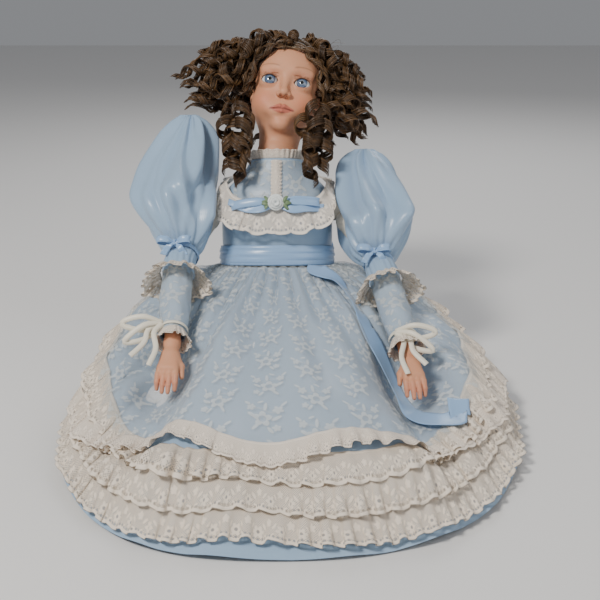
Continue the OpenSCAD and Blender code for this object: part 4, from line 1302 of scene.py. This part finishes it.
class Hair:
    def __init__(self):
        self.paths, self.radii, self.tones = [], [], []

    def add(self, strands, w, tone):
        for p in strands:
            self.paths.append(p)
            self.radii.append(w)
            self.tones.append(tone + rng.normal() * 0.12)

    def make(self, name, body, nodes=(), place=head):
        paths = [place(p) for p in self.paths]
        ob = tube_mesh(name, paths, self.radii, 3, uv=False)
        cols = []
        for p, t in zip(self.paths, self.tones):
            base = mix(np.array([0.040, 0.019, 0.008]), np.array([0.190, 0.100, 0.040]), np.clip(t, 0, 1))
            f = np.linspace(0, 1, len(p))
            c = base[None] * (0.75 + 0.35 * np.sin(f * 7 + t * 20))[:, None]
            cols.append(np.repeat(c, 3, axis=0))
        paint(ob, np.clip(np.vstack(cols), 0, 1))
        return dress(ob, "hair", body, nodes)


def scalp(roll, back, off=0.0):
    """A point of the scalp in mm. roll turns down from the parting to a side, back is the
    angle from the crown to the rear."""
    roll, back = np.broadcast_arrays(np.asarray(roll, float), np.asarray(back, float))
    d = np.stack([np.sin(roll) * np.cos(back), np.sin(back), np.cos(roll) * np.cos(back)], -1)
    return np.array([0, 4, 90]) + d * (np.array([38.6, 40.6, 39.2]) + off)


def cap_field(x, y, z):
    """A thin dark cap behind the hairline, which peaks at the parting."""
    peak = 118 - 0.030 * (x - 5) ** 2 + 0.30 * np.maximum(-x - 12, 0)
    f = np.maximum(skull(x, y, z) - 1.3, -(skull(x, y, z) + 1.5))
    return np.maximum(np.maximum(f, np.minimum(peak - z, -4 - y)), 34 - z)


P, F = surface_nets(cap_field, (-44, -44, 30), (44, 50, 134), 1.0)
dress(build("wig_base", head(P), F), "cap", "head", ["wig_cap"])


def root(az, e, out=np.array([38.5, 41, 40.5])):
    """A direction from the head's middle, and the hair's root that way, in mm."""
    d = np.array([math.sin(az) * math.cos(e), -math.cos(az) * math.cos(e), math.sin(e)])
    return d, np.array([0, 4, 88]) + d * out


R2 = np.random.default_rng(123)
groups = [Hair(), Hair(), Hair()]
count = 0


def lock(points, radius, turns, thick=0.6, strands=15, spread=7.5, tone=0.5, **more):
    global count
    st, w = curl(points, radius, turns, strands, spread, 1000 + count,
                 thick=thick * 1, **more)
    groups[count % 3].add(st, w, tone)
    count += 1


# Curls from all over the scalp, which spread to both sides and to the back
for band, (el, number) in enumerate(((-0.42, 16), (-0.18, 18), (0.08, 19), (0.35, 18), (0.65, 16),
                                     (0.95, 12), (1.25, 8))):
    for k in range(number):
        az = -pi + 2 * pi * (k + 0.5 * (band % 2)) / number + R2.normal() * 0.06
        if abs(az) < (1.02, 0.98, 0.95, 0.92, 0.75, 0.45, 0.0)[band]:
            continue
        e = el + R2.normal() * 0.05
        d, p0 = root(az, e)
        side, back = math.sin(az), -math.cos(az)
        reach = 24 + 34 * abs(side) ** 1.5 + R2.uniform(-6, 9)
        fall = (36 - 5.6 * band) * (0.9 + 0.3 * R2.random())
        flat = unit(np.array([d[0], d[1] * 0.6, 0.0]))
        tip = p0 + flat * reach + np.array([0, 0, -fall - 8 * back])
        if band >= 4:
            tip = p0 + flat * (reach * 0.75) + np.array([0, 0, -10 - 12 * R2.random()])
        tip[2] = max(tip[2], 28 if abs(tip[0]) < 52 else (50 if tip[0] < 0 else 34))
        if tip[1] < -20:
            tip[1] = mix(tip[1], -20, 0.6)
        mid = mix(p0, tip, 0.45) + d * (8 + 5 * R2.random())
        lock([p0 - d * 2, p0 + d * 5, mid, mix(mid, tip, 0.6), tip], 6.0 + R2.uniform(-1.2, 1.8),
             2.4 + R2.uniform(0, 1.0), tone=0.35 + 0.35 * R2.random())
# Looser curls that fill out both sides
for s in (-1, 1):
    for k in range(38):
        az, e = s * R2.uniform(0.95, 2.3), R2.uniform(-0.5, 0.75)
        d, p0 = root(az, e)
        wide = (46 + R2.uniform(0, 42)) if s < 0 else (32 + R2.uniform(0, 22))
        tip = p0 + np.array([s * wide, R2.uniform(-12, 12), -R2.uniform(8, 42)])
        tip[2] = max(tip[2], 46 if s < 0 else 28)
        lock([p0, p0 + d * 4, mix(p0, tip, 0.5) + np.array([0, 0, 10 + R2.uniform(-3, 6)]), tip],
             5.2 + R2.uniform(-1, 1.5), 2.6 + R2.uniform(0, 1.2), strands=13, spread=6,
             tone=0.40 + 0.35 * R2.random())
# Locks swept from the parting down both sides of the forehead
for s in (-1, 1):
    for k in range(15):
        b0 = -1.10 + 0.15 * k
        roll = np.array([0.13 if s > 0 else -0.02, s * 0.5 + 0.06, s * 0.95, s * 1.35, s * 1.75])
        drop_back = b0 + np.array([0, 0.02, 0.10, 0.26, 0.38]) * (1 if k < 8 else 0.4)
        path = scalp(roll, drop_back, np.array([1.6, 3.4, 5.0, 7.5, 9.0])[:, None] + R2.uniform(-0.6, 1.2))
        path = np.vstack([path, path[-1] + [s * 5, 2, -17 - 8 * R2.random()]])
        lock(path, 3.4 + 0.6 * R2.random(), 2.6, strands=22, spread=8, tone=0.45 + 0.3 * R2.random(), lo=0.12)
# A small curl on the forehead
lock([[2, -29, 119.5], [-2, -34, 116], [-6, -35, 111], [-9, -35.5, 106]], 2.8, 1.8, thick=0.45, strands=9,
     spread=3.5, lo=0.5)
# Fine loose hairs round the outline
for k in range(240):
    az, e = R2.uniform(-pi, pi), R2.uniform(-0.3, 1.3)
    if abs(az) < 0.9:
        continue
    d, p0 = root(az, e, 42)
    tip = p0 + d * R2.uniform(8, 20) + np.array([26 * math.sin(az) * abs(math.sin(az)), 0,
                                                 -R2.uniform(4, 22)])
    tip[2] = max(tip[2], 54)
    path = spline([p0, mix(p0, tip, 0.4) + R2.normal(size=3) * 5,
                   mix(p0, tip, 0.75) + R2.normal(size=3) * 5, tip], 16)
    groups[k % 3].add([path], np.linspace(0.24, 0.08, 16), 0.55)
for k, g in enumerate(groups):
    g.make("curls_%d" % (k + 1), "head", ["wig_hair"] if k == 0 else [])

# The ringlets that hang on the chest
for s in (-1, 1):
    h = Hair()
    for j, (x0, y0, top, low, rad) in enumerate(((37, -45, 292, 208, 8.2), (50, -38, 288, 221, 7.2),
                                                 (29, -40, 284, 232, 6.2), (43, -34, 290, 240, 7.5),
                                                 (33, -50, 270, 222, 5.0))):
        sway = 4 * math.sin(2.1 * j + s)
        core = [[s * x0, y0 + 16, top], [s * (x0 + 1 + sway), y0 + 3, mix(top, low, 0.3)],
                [s * (x0 + 2 - sway), y0 - 2, mix(top, low, 0.62)], [s * (x0 + 1), y0 - 3, low]]
        st, w = curl(core, rad * (0.85 + 0.3 * R2.random()), (top - low) / 20.0, 26, 12,
                     8000 + 10 * j + s, thick=0.5, lo=0.8, n_turn=20)
        h.add(st, w, 0.42 + 0.1 * (j % 3))
    ob = h.make("ringlets_front_" + SIDE[s], None, ["ringlets_" + SIDE[s]], place=lambda p: torso(*p.T))
    tuple(torso(s * 40, -50, 248) * MM)
    tuple(torso(s * 40, -40, 292) * MM)
    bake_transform(ob)


# ---------------------------------------------------------------- hands, legs and underclothes

def arm_piece(s):
    """The bisque forearm and its hand, with softly curled fingers."""
    e, w, tip = ELBOW[s], WRIST[s], TIPS[s]
    d, f = unit(w - e), unit(tip - w)
    across = unit(np.cross(f, [0, 0, 1])) * -s
    top = np.cross(unit(np.cross(f, [0, 0, 1])), f)
    def field(x, y, z):
        c = lambda a, b, ra, rb: capsule(x, y, z, a, b, ra, rb)
        g = c(e + d * 12, w - d * 8, 10.0, 7.4)
        g = blend_min(g, c(w - d * 10, w + f * 6, 7.2, 6.6), 4)
        palm = w + f * 17
        for k in (-1.2, -0.4, 0.4, 1.2):
            g = blend_min(g, c(w + f * 7 + across * k * 3, palm + f * 5 + across * k * 5.0, 5.0, 4.4), 4)
        for k, ln, cu in ((-1.5, 20, 7), (-0.5, 24, 6), (0.5, 23.5, 6.5), (1.5, 19, 8)):
            a0 = palm + f * 4 + across * k * 4.6
            a1 = a0 + f * ln * 0.42 + across * k * 0.9 - top * cu * 0.12
            a2 = a0 + f * ln * 0.76 + across * k * 1.1 - top * cu * 0.48
            a3 = a0 + f * ln + across * k * 1.0 - top * cu
            g = blend_min(g, c(a0, a1, 3.3, 2.8), 1.4)
            g = blend_min(g, c(a1, a2, 2.8, 2.5), 0.8)
            g = blend_min(g, c(a2, a3, 2.5, 2.0), 0.8)
        b0 = w + f * 7 - across * 4 - top * 1
        b1 = w + f * 17 - across * 11.5 - top * 3
        b2 = w + f * 27 - across * 13 - top * 6
        g = blend_min(g, c(b0, b1, 4.2, 3.2), 3)
        g = blend_min(g, c(b1, b2, 3.1, 2.3), 1)
        return np.maximum(g, -ball(x, y, z, e, 12.6))
    pts = np.array([e, w, tip])
    lo, hi = pts.min(0) - 20, pts.max(0) + 20
    P, F = surface_nets(field, lo, hi, 0.9)
    ob = build("bisque_arm_" + SIDE[s], P, F)
    col = np.tile(skin, (len(P), 1))
    tips = smooth(8, 22, (P - (w + f * 17)) @ f)
    col = mix(col, np.array([0.62, 0.24, 0.16]), (0.45 * tips)[:, None])
    dress(ob, "bisque", "forearm_" + SIDE[s], ["forearm_" + SIDE[s]])
    paint(ob, col)


for s in (-1, 1):
    arm_piece(s)
plain = {
    "upper_arm_right": "cloth", "upper_arm_left": "cloth", "torso_cloth": "cloth", "thigh_right": "cloth",
    "thigh_left": "cloth",
    "petticoat": "net", "bloomer_seat": "cotton", "bloomer_leg_right": "cotton",
    "bloomer_leg_left": "cotton", "shoe_right": "shoe", "shoe_left": "shoe",
    "neck_bolt": "steel", "neck_spring": "steel", "neck_nut": "steel", "neck_button": "wood",
    "back_snaps": "steel", "wig_cap": "cap",
    "eye_putty": "putty", "crown_pate": "pate", "shoulder_buttons": "button", "shoulder_cord": "cord",
}
M["bisque_plain"] = material("bisque_plain", tuple(skin), 0.52)
for n in ("shoulder_plate", "lower_leg_right", "lower_leg_left"):
    plain[n] = "bisque_plain"
for n, m in plain.items():
    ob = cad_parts[n]
    ob.data.materials.clear()
    ob.data.materials.append(M[m])


# ---------------------------------------------------------------- stage, light and camera

floor = build("floor", [[-4000, -4000, -0.6], [4000, -4000, -0.6], [4000, 4000, -0.6],
                        [-4000, 4000, -0.6]], [[0, 1, 2, 3]], flat=True)
floor.data.materials.append(material("floor", (0.78, 0.77, 0.76), 0.9))
floor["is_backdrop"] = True
world = bpy.data.worlds.new("world")
bpy.context.scene.world = world
world.use_nodes = True
world.node_tree.nodes["Background"].inputs[0].default_value = (0.82, 0.84, 0.88, 1)
world.node_tree.nodes["Background"].inputs[1].default_value = 0.30


def lamp(name, at, to, size, power, color=(1, 1, 1)):
    data = bpy.data.lights.new(name, "AREA")
    data.size, data.energy, data.color = size, power, color
    ob = bpy.data.objects.new(name, data)
    ob.location = at
    ob.rotation_euler = (Vector(to) - Vector(at)).to_track_quat("-Z", "Y").to_euler()
    bpy.context.scene.collection.objects.link(ob)


lamp("key", (-0.8, -1.1, 1.5), (0, -0.05, 0.15), 0.36, 31, (1, 0.97, 0.92))
lamp("fill", (1.3, -0.9, 1.0), (0, -0.05, 0.15), 1.2, 7)
lamp("back", (0.3, 1.3, 1.3), (0, 0, 0.2), 0.9, 9)

cam = bpy.data.cameras.new("camera")
cam.lens, cam.sensor_width = 57.27, 36
cam_ob = bpy.data.objects.new("camera", cam)
bpy.context.scene.collection.objects.link(cam_ob)
cam_ob.location = (0.025, -0.96218, 0.43912)
cam_ob.rotation_euler = (Vector((0.025, 0.0245, 0.080)) - cam_ob.location).to_track_quat("-Z", "Y").to_euler()
bpy.context.scene.camera = cam_ob

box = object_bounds()
{"cad": [list(c) for c in cad_box], "visual": [list(c) for c in box]}
